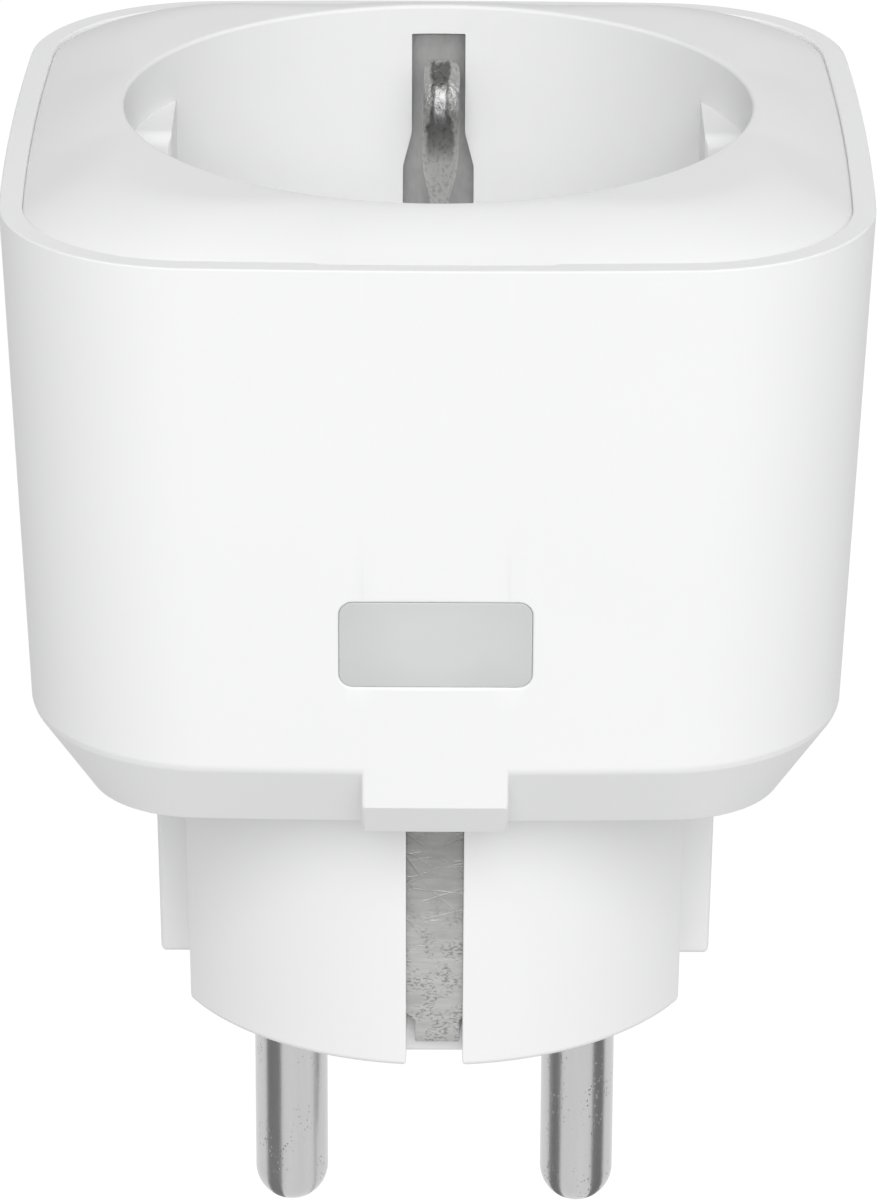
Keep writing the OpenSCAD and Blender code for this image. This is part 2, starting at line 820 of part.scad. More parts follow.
// Light-guiding cap in the window, a flange behind the wall and a stem to the switch
module status_button() {
    half_h = window_h / 2 - button_gap;
    low_z = window_z - half_h;
    high_z = window_z + half_h;
    sink = 0.12;
    color("gainsboro") {
        intersection() {
            along_x(window_w) polygon([
                [front_y(low_z) + sink, low_z], [flange_y + film, low_z],
                [flange_y + film, high_z], [front_y(high_z) + sink, high_z]]);
            translate([0, 0, window_z]) along_y(-body_d, 0)
                rounded_rect(window_w - 2 * button_gap, 2 * half_h, window_r - button_gap);
        }
        translate([0, 0, window_z]) along_y(flange_y, flange_back_y)
            rounded_rect(window_w + 2, window_h + 2, 1);
        rod_along_y(window_z, 1, flange_back_y - film, plunger_tip_y - 0.05);
    }
}

outer_shell();
plug_body();
socket_insert();
status_button();
line_pin();
neutral_pin();
earth_bracket();
earth_clip_front();
earth_clip_rear();
line_contact();
neutral_contact();
shutter_rotor();
shutter_spring();
shutter_cover();
cover_screws();
housing_screws();
power_board();
relay();
line_capacitor();
bulk_capacitors();
power_inductor();
varistor();
fuse_resistor();
rectifier();
supply_chip();
metering_chip();
current_shunt();
line_bar();
neutral_bar();
relay_bar();
control_board();
tact_switch();
tact_plunger();
status_leds();
light_shroud();
radio_module();
antenna();
board_header();
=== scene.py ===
"""Looks of a plug-in power meter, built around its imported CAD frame.

The housing, its domed top with the socket recess, the plug, the pins, the earthing metal and the
lit button are built here as finished meshes. The sealed parts inside keep their CAD shapes and
get finishes of their own. Sizes in the classes are millimetres; meshes are made in metres.
"""

from __future__ import annotations

import json
import logging
import math
from dataclasses import dataclass, field
from enum import Enum
from typing import Callable, Iterable, Protocol, Sequence

import bmesh
import bpy
from mathutils import Matrix, Vector

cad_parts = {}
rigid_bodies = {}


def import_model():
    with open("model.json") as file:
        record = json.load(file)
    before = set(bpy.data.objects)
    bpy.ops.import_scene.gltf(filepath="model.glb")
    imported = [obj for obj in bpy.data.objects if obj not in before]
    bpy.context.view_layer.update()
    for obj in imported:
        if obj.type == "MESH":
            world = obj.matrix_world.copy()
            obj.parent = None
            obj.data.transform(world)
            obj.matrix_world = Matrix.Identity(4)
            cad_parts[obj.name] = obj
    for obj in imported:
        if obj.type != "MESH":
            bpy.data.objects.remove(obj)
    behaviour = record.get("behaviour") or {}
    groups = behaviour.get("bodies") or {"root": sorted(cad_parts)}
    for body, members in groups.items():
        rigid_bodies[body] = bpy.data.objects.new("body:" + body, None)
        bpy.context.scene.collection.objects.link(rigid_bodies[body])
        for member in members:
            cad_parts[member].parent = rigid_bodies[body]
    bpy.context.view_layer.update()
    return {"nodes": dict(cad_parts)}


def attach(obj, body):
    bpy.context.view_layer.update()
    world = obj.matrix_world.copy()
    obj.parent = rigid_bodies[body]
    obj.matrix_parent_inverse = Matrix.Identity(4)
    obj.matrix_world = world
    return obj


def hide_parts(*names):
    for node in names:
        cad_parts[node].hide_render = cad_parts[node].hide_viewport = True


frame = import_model()

MM = 0.001
LOG = logging.getLogger("power_meter")

Pair = tuple[float, float]
Colour = tuple[float, float, float]
Ring = list[Vector]
FrontRule = Callable[[float, int, float], float]
Place = Callable[[float, float, float], Sequence[float]]

PLASTIC_IOR = 1.49
COMMON = (0.3, 0.7)  # the part of a noise's range where most of its values lie


# ---------------------------------------------------------------- shapes


def mix(a: float, b: float, t: float) -> float:
    """Return the value a share t of the way from a to b."""
    return a + (b - a) * t


def smooth(t: float) -> float:
    """Return t from 0 to 1 eased at both ends, and held outside that range."""
    t = min(max(t, 0.0), 1.0)
    return t * t * (3.0 - 2.0 * t)


def quarter_turn(steps: int, first: int = 0) -> list[float]:
    """Return evenly spaced angles from 0 to a right angle, from the step called first on."""
    return [math.pi / 2.0 * i / steps for i in range(first, steps + 1)]


def full_turn(steps: int) -> list[float]:
    """Return evenly spaced angles once round."""
    return [2.0 * math.pi * i / steps for i in range(steps)]


def rounded_path(corners: Sequence[tuple[float, float, float]], steps: int = 6) -> list[Pair]:
    """Round the inner corners of a flat line with arcs.

    Args:
        corners: Points of the line, each with the radius of its corner.
        steps: Segments in each arc.

    Returns:
        The points of the rounded line; the two ends stay as they are.
    """
    points: list[Pair] = [(corners[0][0], corners[0][1])]
    for before, here, after in zip(corners, corners[1:], corners[2:]):
        at = Vector(here[:2])
        back = (Vector(before[:2]) - at).normalized()
        ahead = (Vector(after[:2]) - at).normalized()
        half_angle = back.angle(ahead) / 2.0
        if here[2] <= 0.0 or half_angle > math.radians(89.5):
            points.append((at.x, at.y))
            continue
        reach = here[2] / math.tan(half_angle)
        centre = at + (back + ahead).normalized() * (here[2] / math.sin(half_angle))
        start = at + back * reach - centre
        sweep = math.pi - 2.0 * half_angle
        turn = 1.0 if back.x * ahead.y - back.y * ahead.x < 0.0 else -1.0
        for i in range(steps + 1):
            angle = turn * sweep * i / steps
            c, s = math.cos(angle), math.sin(angle)
            points.append((centre.x + c * start.x - s * start.y, centre.y + s * start.x + c * start.y))
    points.append((corners[-1][0], corners[-1][1]))
    return points


def rounded_polygon(corners: Sequence[tuple[float, float, float]], steps: int = 6) -> list[Pair]:
    """Round every corner of a closed flat outline.

    Args:
        corners: Points of the outline in order, each with the radius of its corner.
        steps: Segments in each arc.

    Returns:
        The points of the closed outline.
    """
    looped = [corners[-1], *corners, corners[0]]
    return rounded_path(looped, steps)[1:-1]


def rounded_rectangle(width: float, height: float, radius: float, steps: int = 6) -> list[Pair]:
    """Return the points of a rectangle with round corners, centred on the origin."""
    x, y = width / 2.0, height / 2.0
    return rounded_polygon([(x, -y, radius), (x, y, radius), (-x, y, radius), (-x, -y, radius)], steps)


def bezier(a: Pair, b: Pair, c: Pair, steps: int) -> list[Pair]:
    """Return the points of a curve from a to c that leans toward b.

    Args:
        a: The first point.
        b: The point it bends towards.
        c: The last point.
        steps: The number of steps along it.
    """
    points = []
    for i in range(steps + 1):
        t = i / steps
        points.append(tuple(mix(mix(p, q, t), mix(q, r, t), t) for p, q, r in zip(a, b, c)))
    return points


def placed(name: str, data: bpy.types.ID) -> bpy.types.Object:
    """Return a new object with this data, put into the scene."""
    made = bpy.data.objects.new(name, data)
    bpy.context.scene.collection.objects.link(made)
    return made


class Solid:
    """Gathers the vertices and faces of one closed mesh, in millimetres."""

    def __init__(self) -> None:
        """Start with nothing."""
        self.points: list[Vector] = []
        self.faces: list[tuple[int, ...]] = []

    def add_ring(self, ring: Iterable[Sequence[float]]) -> list[int]:
        """Add a ring of points.

        Args:
            ring: The points, in order.

        Returns:
            The indices of the points in the mesh.
        """
        start = len(self.points)
        self.points.extend(Vector(p) for p in ring)
        return list(range(start, len(self.points)))

    def bridge(self, low: list[int], high: list[int]) -> None:
        """Join two rings of the same length with a band of quads."""
        count = len(low)
        for i in range(count):
            j = (i + 1) % count
            self.faces.append((low[i], low[j], high[j], high[i]))

    def loft(self, rings: Sequence[Iterable[Sequence[float]]], closed: bool = False) -> None:
        """Join a stack of rings, capping both ends or joining the last to the first.

        Args:
            rings: Rings with the same number of points.
            closed: True where the stack runs round to its own start.
        """
        ids = [self.add_ring(ring) for ring in rings]
        for low, high in zip(ids, ids[1:]):
            self.bridge(low, high)
        if closed:
            self.bridge(ids[-1], ids[0])
        else:
            self.faces.append(tuple(reversed(ids[0])))
            self.faces.append(tuple(ids[-1]))

    def build(self, name: str) -> bpy.types.Object:
        """Make the object, with doubles merged and its faces turned outward.

        Args:
            name: The object's name.

        Returns:
            The new object, at the origin, with its place in its mesh.
        """
        mesh = bpy.data.meshes.new(name)
        mesh.from_pydata([p * MM for p in self.points], [], self.faces)
        work = bmesh.new()
        work.from_mesh(mesh)
        bmesh.ops.remove_doubles(work, verts=work.verts, dist=1e-7)
        bmesh.ops.dissolve_degenerate(work, edges=work.edges, dist=1e-8)
        bmesh.ops.recalc_face_normals(work, faces=work.faces)
        work.to_mesh(mesh)
        work.free()
        return placed(name, mesh)


def inset(points: Sequence[Pair], distance: float) -> list[Pair]:
    """Draw a closed anticlockwise outline inward by a distance, or outward where it is negative.

    Args:
        points: The outline.
        distance: How far each side moves.

    Returns:
        The moved outline, with the same number of points.
    """
    count = len(points)
    moved: list[Pair] = []
    for i in range(count):
        here = Vector(points[i])
        before = here - Vector(points[i - 1])
        after = Vector(points[(i + 1) % count]) - here
        normal = Vector((-before.y, before.x)).normalized() + Vector((-after.y, after.x)).normalized()
        reach = 2.0 * distance / max(normal.length_squared, 0.5)
        moved.append((here.x + normal.x * reach, here.y + normal.y * reach))
    return moved


def slab(name: str, outline: Sequence[Pair], place: Place, low: float, high: float,
         edge: float) -> bpy.types.Object:
    """Draw an outline out from one level to another, with its edges eased.

    Args:
        name: The object's name.
        outline: Points of the closed anticlockwise outline.
        place: Gives the point in space for an outline point (u, v) at a level.
        low: The first level.
        high: The last level.
        edge: Radius of the eased edges.

    Returns:
        The closed solid.
    """
    solid = Solid()
    rings = []
    rise = math.copysign(1.0, high - low)
    for end, way in ((low, 1.0), (high, -1.0)):
        part = []
        for angle in (0.0, 30.0, 60.0, 90.0):
            turn = math.radians(angle)
            level = end + way * rise * edge * (1.0 - math.cos(turn))
            part.append([place(u, v, level) for u, v in inset(outline, edge * (1.0 - math.sin(turn)))])
        rings += part if way > 0.0 else part[::-1]
    solid.loft(rings)
    return solid.build(name)


def prism(name: str, outline: Sequence[Pair], place: Place, levels: Sequence[float]) -> bpy.types.Object:
    """Draw a flat outline out through several levels.

    Args:
        name: The object's name.
        outline: Points of the closed outline.
        place: Gives the point in space for an outline point (u, v) at a level.
        levels: Heights of the rings, in order.

    Returns:
        The closed solid.
    """
    solid = Solid()
    solid.loft([[place(u, v, level) for u, v in outline] for level in levels])
    return solid.build(name)


def disc_stack(name: str, centre: Sequence[float], profile: Sequence[Pair],
               sides: int = 64) -> bpy.types.Object:
    """Turn a profile about a vertical axis.

    Args:
        name: The object's name.
        centre: X, Y and base Z of the axis.
        profile: Radius and height of each ring, from one end to the other.
        sides: Segments round the axis.

    Returns:
        The closed solid, with each end capped.
    """
    solid = Solid()
    solid.loft([[(centre[0] + r * math.cos(a), centre[1] + r * math.sin(a), centre[2] + z)
                 for a in full_turn(sides)] for r, z in profile])
    return solid.build(name)


class Join(Enum):
    """How a tool shape changes a piece."""

    CUT = "DIFFERENCE"
    ADD = "UNION"


def combine(piece: bpy.types.Object, how: Join, *tools: bpy.types.Object) -> bpy.types.Object:
    """Cut tool shapes from a piece or add them, and use the tools up.

    Args:
        piece: The object that is changed.
        how: Whether the tools are cut or added.
        tools: The closed shapes that are cut away or joined on, in order.

    Returns:
        The changed piece.
    """
    for tool in tools:
        modifier = piece.modifiers.new("join", "BOOLEAN")
        modifier.operation = how.value
        modifier.solver = "EXACT"
        modifier.object = tool
    return settle(piece, *tools)


def settle(piece: bpy.types.Object, *used: bpy.types.Object) -> bpy.types.Object:
    """Apply a piece's modifiers to its mesh and remove helper objects.

    Args:
        piece: The object whose modifiers are applied.
        used: Helpers that are no longer needed.

    Returns:
        The piece.
    """
    bpy.context.view_layer.update()
    graph = bpy.context.evaluated_depsgraph_get()
    mesh = bpy.data.meshes.new_from_object(piece.evaluated_get(graph))
    old = piece.data
    piece.modifiers.clear()
    piece.data = mesh
    bpy.data.meshes.remove(old)
    for helper in used:
        helper_mesh = helper.data
        bpy.data.objects.remove(helper)
        if isinstance(helper_mesh, bpy.types.Mesh):
            bpy.data.meshes.remove(helper_mesh)
    return piece


def soften(piece: bpy.types.Object, angle: float = 32.0) -> None:
    """Shade a piece smooth, with edges sharper than an angle kept crisp.

    Args:
        piece: The piece.
        angle: The angle past which an edge stays sharp, in degrees.
    """
    piece.data.shade_smooth()
    piece.data.set_sharp_from_angle(angle=math.radians(angle))
    weighted = piece.modifiers.new("weighted_normals", "WEIGHTED_NORMAL")
    weighted.keep_sharp = True
    weighted.weight = 60


# ---------------------------------------------------------------- finishes


class Bench:
    """A material's node tree, with short ways to add and link nodes."""

    def __init__(self, name: str) -> None:
        """Make a material that holds only a shader and its output."""
        self.material = bpy.data.materials.new(name)
        self.material.use_nodes = True
        self.tree = self.material.node_tree
        self.tree.nodes.clear()
        output = self.tree.nodes.new("ShaderNodeOutputMaterial")
        self.shader = self.tree.nodes.new("ShaderNodeBsdfPrincipled")
        self.link(self.shader.outputs["BSDF"], output.inputs["Surface"])
        self.place = self.add("ShaderNodeTexCoord").outputs["Object"]

    def add(self, kind: str, **settings: object) -> bpy.types.Node:
        """Add a node and set its properties.

        Args:
            kind: The node's type.
            settings: Property values; names that are inputs are set as inputs.

        Returns:
            The new node.
        """
        node = self.tree.nodes.new(kind)
        for key, value in settings.items():
            if hasattr(node, key):
                setattr(node, key, value)
            else:
                node.inputs[key].default_value = value
        return node

    def link(self, source: bpy.types.NodeSocket, target: bpy.types.NodeSocket) -> None:
        """Join an output to an input."""
        self.tree.links.new(source, target)

    def stretch(self, scale: Sequence[float]) -> bpy.types.NodeSocket:
        """Return object coordinates scaled along each axis."""
        mapping = self.add("ShaderNodeMapping")
        mapping.inputs["Scale"].default_value = scale
        self.link(self.place, mapping.inputs["Vector"])
        return mapping.outputs["Vector"]

    def noise(self, scale: float, detail: float = 2.0, where: bpy.types.NodeSocket | None = None,
              roughness: float = 0.5) -> bpy.types.NodeSocket:
        """Return a cloudy pattern from 0 to 1.

        Args:
            scale: Cells for each metre.
            detail: Layers of finer noise.
            where: Coordinates, or None for plain object coordinates.
            roughness: Strength of the finer layers.

        Returns:
            The pattern's output socket.
        """
        node = self.add("ShaderNodeTexNoise", Scale=scale, Detail=detail, Roughness=roughness)
        self.link(where or self.place, node.inputs["Vector"])
        return node.outputs["Fac"]

    def remap(self, source: bpy.types.NodeSocket, low: float, high: float, to_low: float,
              to_high: float) -> bpy.types.NodeSocket:
        """Map a range of a pattern onto another range, held at both ends.

        Returns:
            The pattern on its new range.
        """
        node = self.add("ShaderNodeMapRange")
        for name, value in (("From Min", low), ("From Max", high), ("To Min", to_low), ("To Max", to_high)):
            node.inputs[name].default_value = value
        self.link(source, node.inputs["Value"])
        return node.outputs["Result"]

    def colours(self, source: bpy.types.NodeSocket, stops: Sequence[tuple[float, Sequence[float]]]
                ) -> bpy.types.NodeSocket:
        """Turn a pattern into colours.

        Args:
            source: The pattern.
            stops: Places from 0 to 1, each with its linear red, green and blue.

        Returns:
            The colour's output socket.
        """
        ramp = self.add("ShaderNodeValToRGB")
        while len(ramp.color_ramp.elements) < len(stops):
            ramp.color_ramp.elements.new(0.5)
        for element, (at, colour) in zip(ramp.color_ramp.elements, stops):
            element.position = at
            element.color = (*colour, 1.0)
        self.link(source, ramp.inputs["Fac"])
        return ramp.outputs["Color"]

    def blend(self, share: bpy.types.NodeSocket, a: bpy.types.NodeSocket, b: bpy.types.NodeSocket,
              kind: str = "MIX") -> bpy.types.NodeSocket:
        """Mix two colours by a pattern.

        Args:
            share: How much of the second colour shows.
            a: The first colour.
            b: The second colour.
            kind: The way of mixing.

        Returns:
            The mixed colour's output socket.
        """
        node = self.add("ShaderNodeMix", data_type="RGBA", blend_type=kind)
        self.link(share, node.inputs[0])
        self.link(a, node.inputs[6])
        self.link(b, node.inputs[7])
        return node.outputs[2]

    def combine(self, operation: str, a: bpy.types.NodeSocket, b: bpy.types.NodeSocket
                ) -> bpy.types.NodeSocket:
        """Combine two patterns with a sum, a product or the like."""
        node = self.add("ShaderNodeMath", operation=operation)
        self.link(a, node.inputs[0])
        self.link(b, node.inputs[1])
        return node.outputs[0]

    def axis(self, name: str) -> bpy.types.NodeSocket:
        """Return the object's X, Y or Z coordinate, in metres."""
        axes = self.add("ShaderNodeSeparateXYZ")
        self.link(self.place, axes.inputs["Vector"])
        return axes.outputs[name]

    def bump(self, height: bpy.types.NodeSocket, depth_mm: float, strength: float = 1.0) -> None:
        """Add relief to the surface, over any relief that is already there."""
        node = self.add("ShaderNodeBump", Strength=strength, Distance=depth_mm * MM)
        self.link(height, node.inputs["Height"])
        normal = self.shader.inputs["Normal"]
        if normal.is_linked:
            self.link(normal.links[0].from_socket, node.inputs["Normal"])
        self.link(node.outputs["Normal"], normal)

    def between(self, source: bpy.types.NodeSocket, a: Sequence[float], b: Sequence[float],
                low: float = COMMON[0]) -> bpy.types.NodeSocket:
        """Return colours that run from a to b over the common part of a noise."""
        return self.colours(source, [(low, a), (COMMON[1], b)])

    def paint(self, colour: bpy.types.NodeSocket) -> None:
        """Give the surface its colour."""
        self.link(colour, self.shader.inputs["Base Color"])

    def polish(self, source: bpy.types.NodeSocket, to_low: float, to_high: float,
               low: float = COMMON[0], high: float = COMMON[1]) -> None:
        """Give the surface a roughness that follows a pattern."""
        self.link(self.remap(source, low, high, to_low, to_high), self.shader.inputs["Roughness"])

    def fix(self, name: str, value: float | Sequence[float]) -> None:
        """Set one of the shader's inputs to the same value all over."""
        self.shader.inputs[name].default_value = value


def shade(colour: Sequence[float], factor: float) -> Colour:
    """Return a colour made lighter or darker by a factor, held at 1."""
    return tuple(min(channel * factor, 1.0) for channel in colour)


def grey(level: float) -> Colour:
    """Return a neutral colour."""
    return (level, level, level)


def warm_steps(stops: Iterable[Pair]) -> list[tuple[float, Colour]]:
    """Return brightness stops as colours with a trace less blue, as bare metal has."""
    return [(at, (tone, tone, 0.985 * tone)) for at, tone in stops]


class Finish(Protocol):
    """Anything that can build a material."""

    def make(self) -> bpy.types.Material:
        """Build the material."""


@dataclass(frozen=True)
class MouldedPlastic:
    """Injection-moulded plastic with a fine spark-eroded grain and slight tone drift."""

    name: str
    colour: Colour
    roughness: float = 0.42
    grain_mm: float = 0.004

    def make(self) -> bpy.types.Material:
        """Build the material.

        Returns:
            The material.
        """
        bench = Bench(self.name)
        drift = bench.noise(45.0, 3.0)
        bench.paint(bench.between(drift, shade(self.colour, 0.985), self.colour))
        patches = bench.noise(220.0)
        bench.polish(patches, self.roughness - 0.03, self.roughness + 0.04)
        grain = bench.noise(9000.0)
        bench.bump(grain, self.grain_mm)
        bench.fix("IOR", PLASTIC_IOR)
        bench.fix("Specular IOR Level", 0.32)
        return bench.material


@dataclass(frozen=True)
class FrostedLens:
    """Milky light-guide plastic, painted lighter over its middle as light from the lamp behind and painted
    darker toward its rim as shade.
    """

    name: str
    # middle is the painted lit colour over the lamp; edge is the painted shaded colour at the rim.
    middle: Colour
    edge: Colour
    centre_m: tuple[float, float, float]
    half_m: tuple[float, float, float]

    def make(self) -> bpy.types.Material:
        """Build the material.

        Returns:
            The material.
        """
        bench = Bench(self.name)
        mapping = bench.add("ShaderNodeMapping", vector_type="TEXTURE")
        mapping.inputs["Location"].default_value = self.centre_m
        mapping.inputs["Scale"].default_value = self.half_m
        bench.link(bench.place, mapping.inputs["Vector"])
        # Painted light and shade: a round gradient, lighter in the middle and darker toward the rim.
        painted_light_spot = bench.add("ShaderNodeTexGradient", gradient_type="SPHERICAL")
        bench.link(mapping.outputs["Vector"], painted_light_spot.inputs["Vector"])
        glow = bench.colours(painted_light_spot.outputs["Fac"], [(0.0, self.edge), (0.7, self.middle)])
        drift = bench.between(bench.noise(260.0, 3.0), grey(0.97), grey(1.0))
        product = bench.add("ShaderNodeMix", data_type="RGBA", blend_type="MULTIPLY")
        product.inputs[0].default_value = 1.0
        bench.link(glow, product.inputs[6])
        bench.link(drift, product.inputs[7])
        bench.paint(product.outputs[2])
        bench.polish(bench.noise(500.0), 0.3, 0.38)
        bench.bump(bench.noise(7000.0), 0.002)
        bench.fix("IOR", PLASTIC_IOR)
        return bench.material


@dataclass(frozen=True)
class NickelPlate:
    """Bright nickel with fine pits and lengthwise rub marks."""

    name: str
    colour: Colour
    roughness: float = 0.14

    def make(self) -> bpy.types.Material:
        """Build the material.

        Returns:
            The material.
        """
        bench = Bench(self.name)
        rub = bench.noise(1400.0, 4.0, bench.stretch((1.0, 1.0, 0.05)), 0.6)
        cloud = bench.noise(600.0, 4.0, bench.stretch((1.0, 1.0, 0.4)))
        pits = bench.add("ShaderNodeTexVoronoi", Scale=3600.0, Randomness=1.0)
        bench.link(bench.place, pits.inputs["Vector"])
        pit = bench.combine("MULTIPLY", bench.remap(pits.outputs["Distance"], 0.12, 0.3, 1.0, 0.0),
                            bench.remap(cloud, 0.5, 0.6, 0.0, 1.0))
        tone = bench.between(rub, shade(self.colour, 0.93), self.colour)
        dark = bench.colours(cloud, [(0.0, shade(self.colour, 0.6)), (1.0, shade(self.colour, 0.75))])
        bench.paint(bench.blend(pit, tone, dark))
        bench.polish(rub, self.roughness - 0.04, self.roughness + 0.08, 0.3, 0.75)
        bench.bump(rub, 0.008)
        bench.bump(pit, 0.03, 0.8)
        bench.fix("Metallic", 1.0)
        return bench.material


@dataclass(frozen=True)
class ScuffedSheet:
    """Stamped sheet metal with crossing scratches, streaks and pits, painted darker toward its top as shade
    under the housing.
    """

    name: str
    low_z: float
    high_z: float
    # Tone stops by height; the fall toward the top is painted shade.
    tones: tuple[Pair, ...]
    roughness: float = 0.42
    scratch_sets: tuple[Pair, ...] = ((0.5, 620.0), (-0.75, 480.0), (0.08, 700.0))

    def scratches(self, bench: Bench) -> bpy.types.NodeSocket:
        """Return a web of thin straight lines laid over one another.

        Args:
            bench: The bench that the material is made on.
        """
        marks = None
        for angle, size in self.scratch_sets:
            turn = bench.add("ShaderNodeMapping")
            turn.inputs["Rotation"].default_value = (0.0, angle, 0.0)
            bench.link(bench.place, turn.inputs["Vector"])
            squash = bench.add("ShaderNodeMapping")
            squash.inputs["Scale"].default_value = (0.3, 1.0, 1.0)
            bench.link(turn.outputs["Vector"], squash.inputs["Vector"])
            cells = bench.add("ShaderNodeTexVoronoi", feature="DISTANCE_TO_EDGE", Scale=size)
            bench.link(squash.outputs["Vector"], cells.inputs["Vector"])
            line = bench.remap(cells.outputs["Distance"], 0.0, 0.04, 1.0, 0.0)
            marks = bench.combine("MAXIMUM", marks, line) if marks else line
        breaks = bench.remap(bench.noise(520.0, 3.0), 0.36, 0.5, 0.0, 1.0)
        return bench.combine("MULTIPLY", marks, breaks)

    def make(self) -> bpy.types.Material:
        """Build the material.

        Returns:
            The material.
        """
        bench = Bench(self.name)
        streaks = bench.noise(2400.0, 4.0, bench.stretch((0.12, 1.0, 1.0)), 0.6)
        height = bench.remap(bench.axis("Z"), self.low_z, self.high_z, 0.0, 1.0)
        marks = bench.combine("MULTIPLY", self.scratches(bench), bench.remap(height, 0.3, 0.6, 0.25, 1.0))
        cloud = bench.noise(800.0, 4.0, None, 0.6)
        drift = bench.combine("ADD", height, bench.remap(cloud, *COMMON, -0.05, 0.05))
        # The tones darken with height: painted shade under the housing, with some random drift.
        tone = bench.colours(drift, warm_steps(self.tones))
        rubbed_and_shaded = bench.blend(bench.remap(cloud, 0.0, 1.0, 0.7, 0.3), tone,
                             bench.between(cloud, grey(0.62), grey(0.75)), "MULTIPLY")
        rubbed_and_shaded = bench.blend(bench.remap(streaks, 0.35, 0.65, 1.0, 0.0), tone, rubbed_and_shaded)
        pits = bench.noise(6800.0, 3.0, bench.stretch((0.5, 1.0, 1.0)), 0.6)
        zone = bench.combine("MULTIPLY", bench.remap(cloud, 0.46, 0.56, 0.0, 1.0),
                             bench.remap(height, 0.5, 0.75, 1.0, 0.1))
        pitted = bench.combine("MULTIPLY", bench.remap(pits, 0.5, 0.56, 0.0, 0.7), zone)
        bench.paint(bench.blend(pitted, rubbed_and_shaded, bench.between(cloud, grey(0.16), grey(0.22))))
        bench.polish(streaks, self.roughness - 0.06, self.roughness + 0.1)
        bench.bump(marks, 0.024)
        bench.bump(streaks, 0.035, 0.8)
        bench.bump(pits, 0.03, 0.7)
        bench.fix("Metallic", 1.0)
        return bench.material


@dataclass(frozen=True)
class PaintedReflectionBlade:
    """A sprung blade with painted reflections: a painted highlight on its knee and dark painted reflections
    above and below it.
    """

    name: str
    low_z: float
    high_z: float
    flat_half: float
    highlight_half: float
    highlight_tone: float
    # Tone stops by height for painted reflections: middle for the flat face, sides for the bevels.
    middle: tuple[Pair, ...]
    sides: tuple[Pair, ...]
    axis_x: float = 0.00013
    spread: float = 0.0003

    def make(self) -> bpy.types.Material:
        """Build the material.

        Returns:
            The material.
        """
        bench = Bench(self.name)
        cloud = bench.noise(1500.0, 4.0, None, 0.65)
        fine = bench.noise(4200.0, 3.0, bench.stretch((1.0, 1.0, 0.55)), 0.6)
        height = bench.remap(bench.axis("Z"), self.low_z, self.high_z, 0.0, 1.0)
        drift = bench.combine("ADD", height, bench.remap(cloud, *COMMON, -0.014, 0.014))
        width = bench.add("ShaderNodeMath", operation="ABSOLUTE")
        reach = 0.01
        bench.link(bench.remap(bench.axis("X"), -reach, reach, -reach - self.axis_x, reach - self.axis_x),
                   width.inputs[0])
        waver = bench.combine("ADD", width.outputs[0], bench.remap(cloud, *COMMON, -0.0001, 0.0001))
        spread = bench.combine("SUBTRACT", waver, bench.remap(drift, 0.6, 0.72, self.spread, 0.0))
        face = bench.remap(spread, self.flat_half - 0.00012, self.flat_half + 0.00008, 0.0, 1.0)
        # Painted highlight: a lighter strip on the knee, where the lamp is mirrored.
        highlight_mask = bench.remap(waver, self.highlight_half - 0.00005, self.highlight_half + 0.00005, 1.0, 0.0)
        for low, high, start, end in ((0.64, 0.7, 0.0, 1.0), (0.84, 0.87, 1.0, 0.0)):
            highlight_mask = bench.combine("MULTIPLY", highlight_mask, bench.remap(drift, low, high, start, end))
        # Painted reflections: darker and lighter bands by height, as the blade mirrors its surroundings.
        painted_reflection = bench.blend(face, bench.colours(drift, warm_steps(self.middle)),
                           bench.colours(drift, warm_steps(self.sides)))
        bright = bench.between(cloud, grey(0.85 * self.highlight_tone), grey(self.highlight_tone))
        speckle = bench.colours(fine, [(0.34, (0.62, 0.62, 0.61)), (0.5, grey(0.95)), (0.68, grey(1.0))])
        bench.paint(bench.blend(bench.remap(cloud, 0.2, 0.8, 1.0, 0.6), bench.blend(highlight_mask, painted_reflection, bright),
                                speckle, "MULTIPLY"))
        bench.polish(fine, 0.3, 0.5)
        bench.bump(fine, 0.06)
        bench.bump(cloud, 0.05, 0.6)
        bench.fix("Metallic", 1.0)
        return bench.material


@dataclass(frozen=True)
class PlainMetal:
    """Rolled, drawn or plated metal with a directional grain."""

    name: str
    colour: Colour
    roughness: float = 0.3
    grain: tuple[float, float, float] = (1.0, 1.0, 0.1)

    def make(self) -> bpy.types.Material:
        """Build the material.

        Returns:
            The material.
        """
        bench = Bench(self.name)
        lines = bench.noise(3000.0, 3.0, bench.stretch(self.grain))
        cloud = bench.noise(350.0, 3.0)
        bench.paint(bench.between(cloud, shade(self.colour, 0.86), shade(self.colour, 1.04)))
        bench.polish(lines, self.roughness - 0.06, self.roughness + 0.1)
        bench.bump(lines, 0.004)
        bench.fix("Metallic", 1.0)
        return bench.material


@dataclass(frozen=True)
class CircuitBoard:
    """Green solder mask over faint copper tracks."""

    name: str
    mask: Colour
    track: Colour

    def make(self) -> bpy.types.Material:
        """Build the material.

        Returns:
            The material.
        """
        bench = Bench(self.name)
        tracks = bench.add("ShaderNodeTexBrick", offset=0.5, Scale=420.0)
        tracks.inputs["Mortar Size"].default_value = 0.03
        bench.link(bench.stretch((1.0, 1.3, 1.0)), tracks.inputs["Vector"])
        where = bench.remap(bench.noise(260.0, 1.0), 0.48, 0.52, 0.0, 1.0)
        run = bench.combine("MULTIPLY", tracks.outputs["Fac"], where)
        cloud = bench.noise(90.0)
        bench.paint(bench.blend(run, bench.between(cloud, shade(self.mask, 0.85), self.mask),
                                bench.between(cloud, shade(self.track, 0.9), self.track)))
        bench.polish(bench.noise(800.0), 0.22, 0.34)
        bench.bump(run, 0.02)
        return bench.material


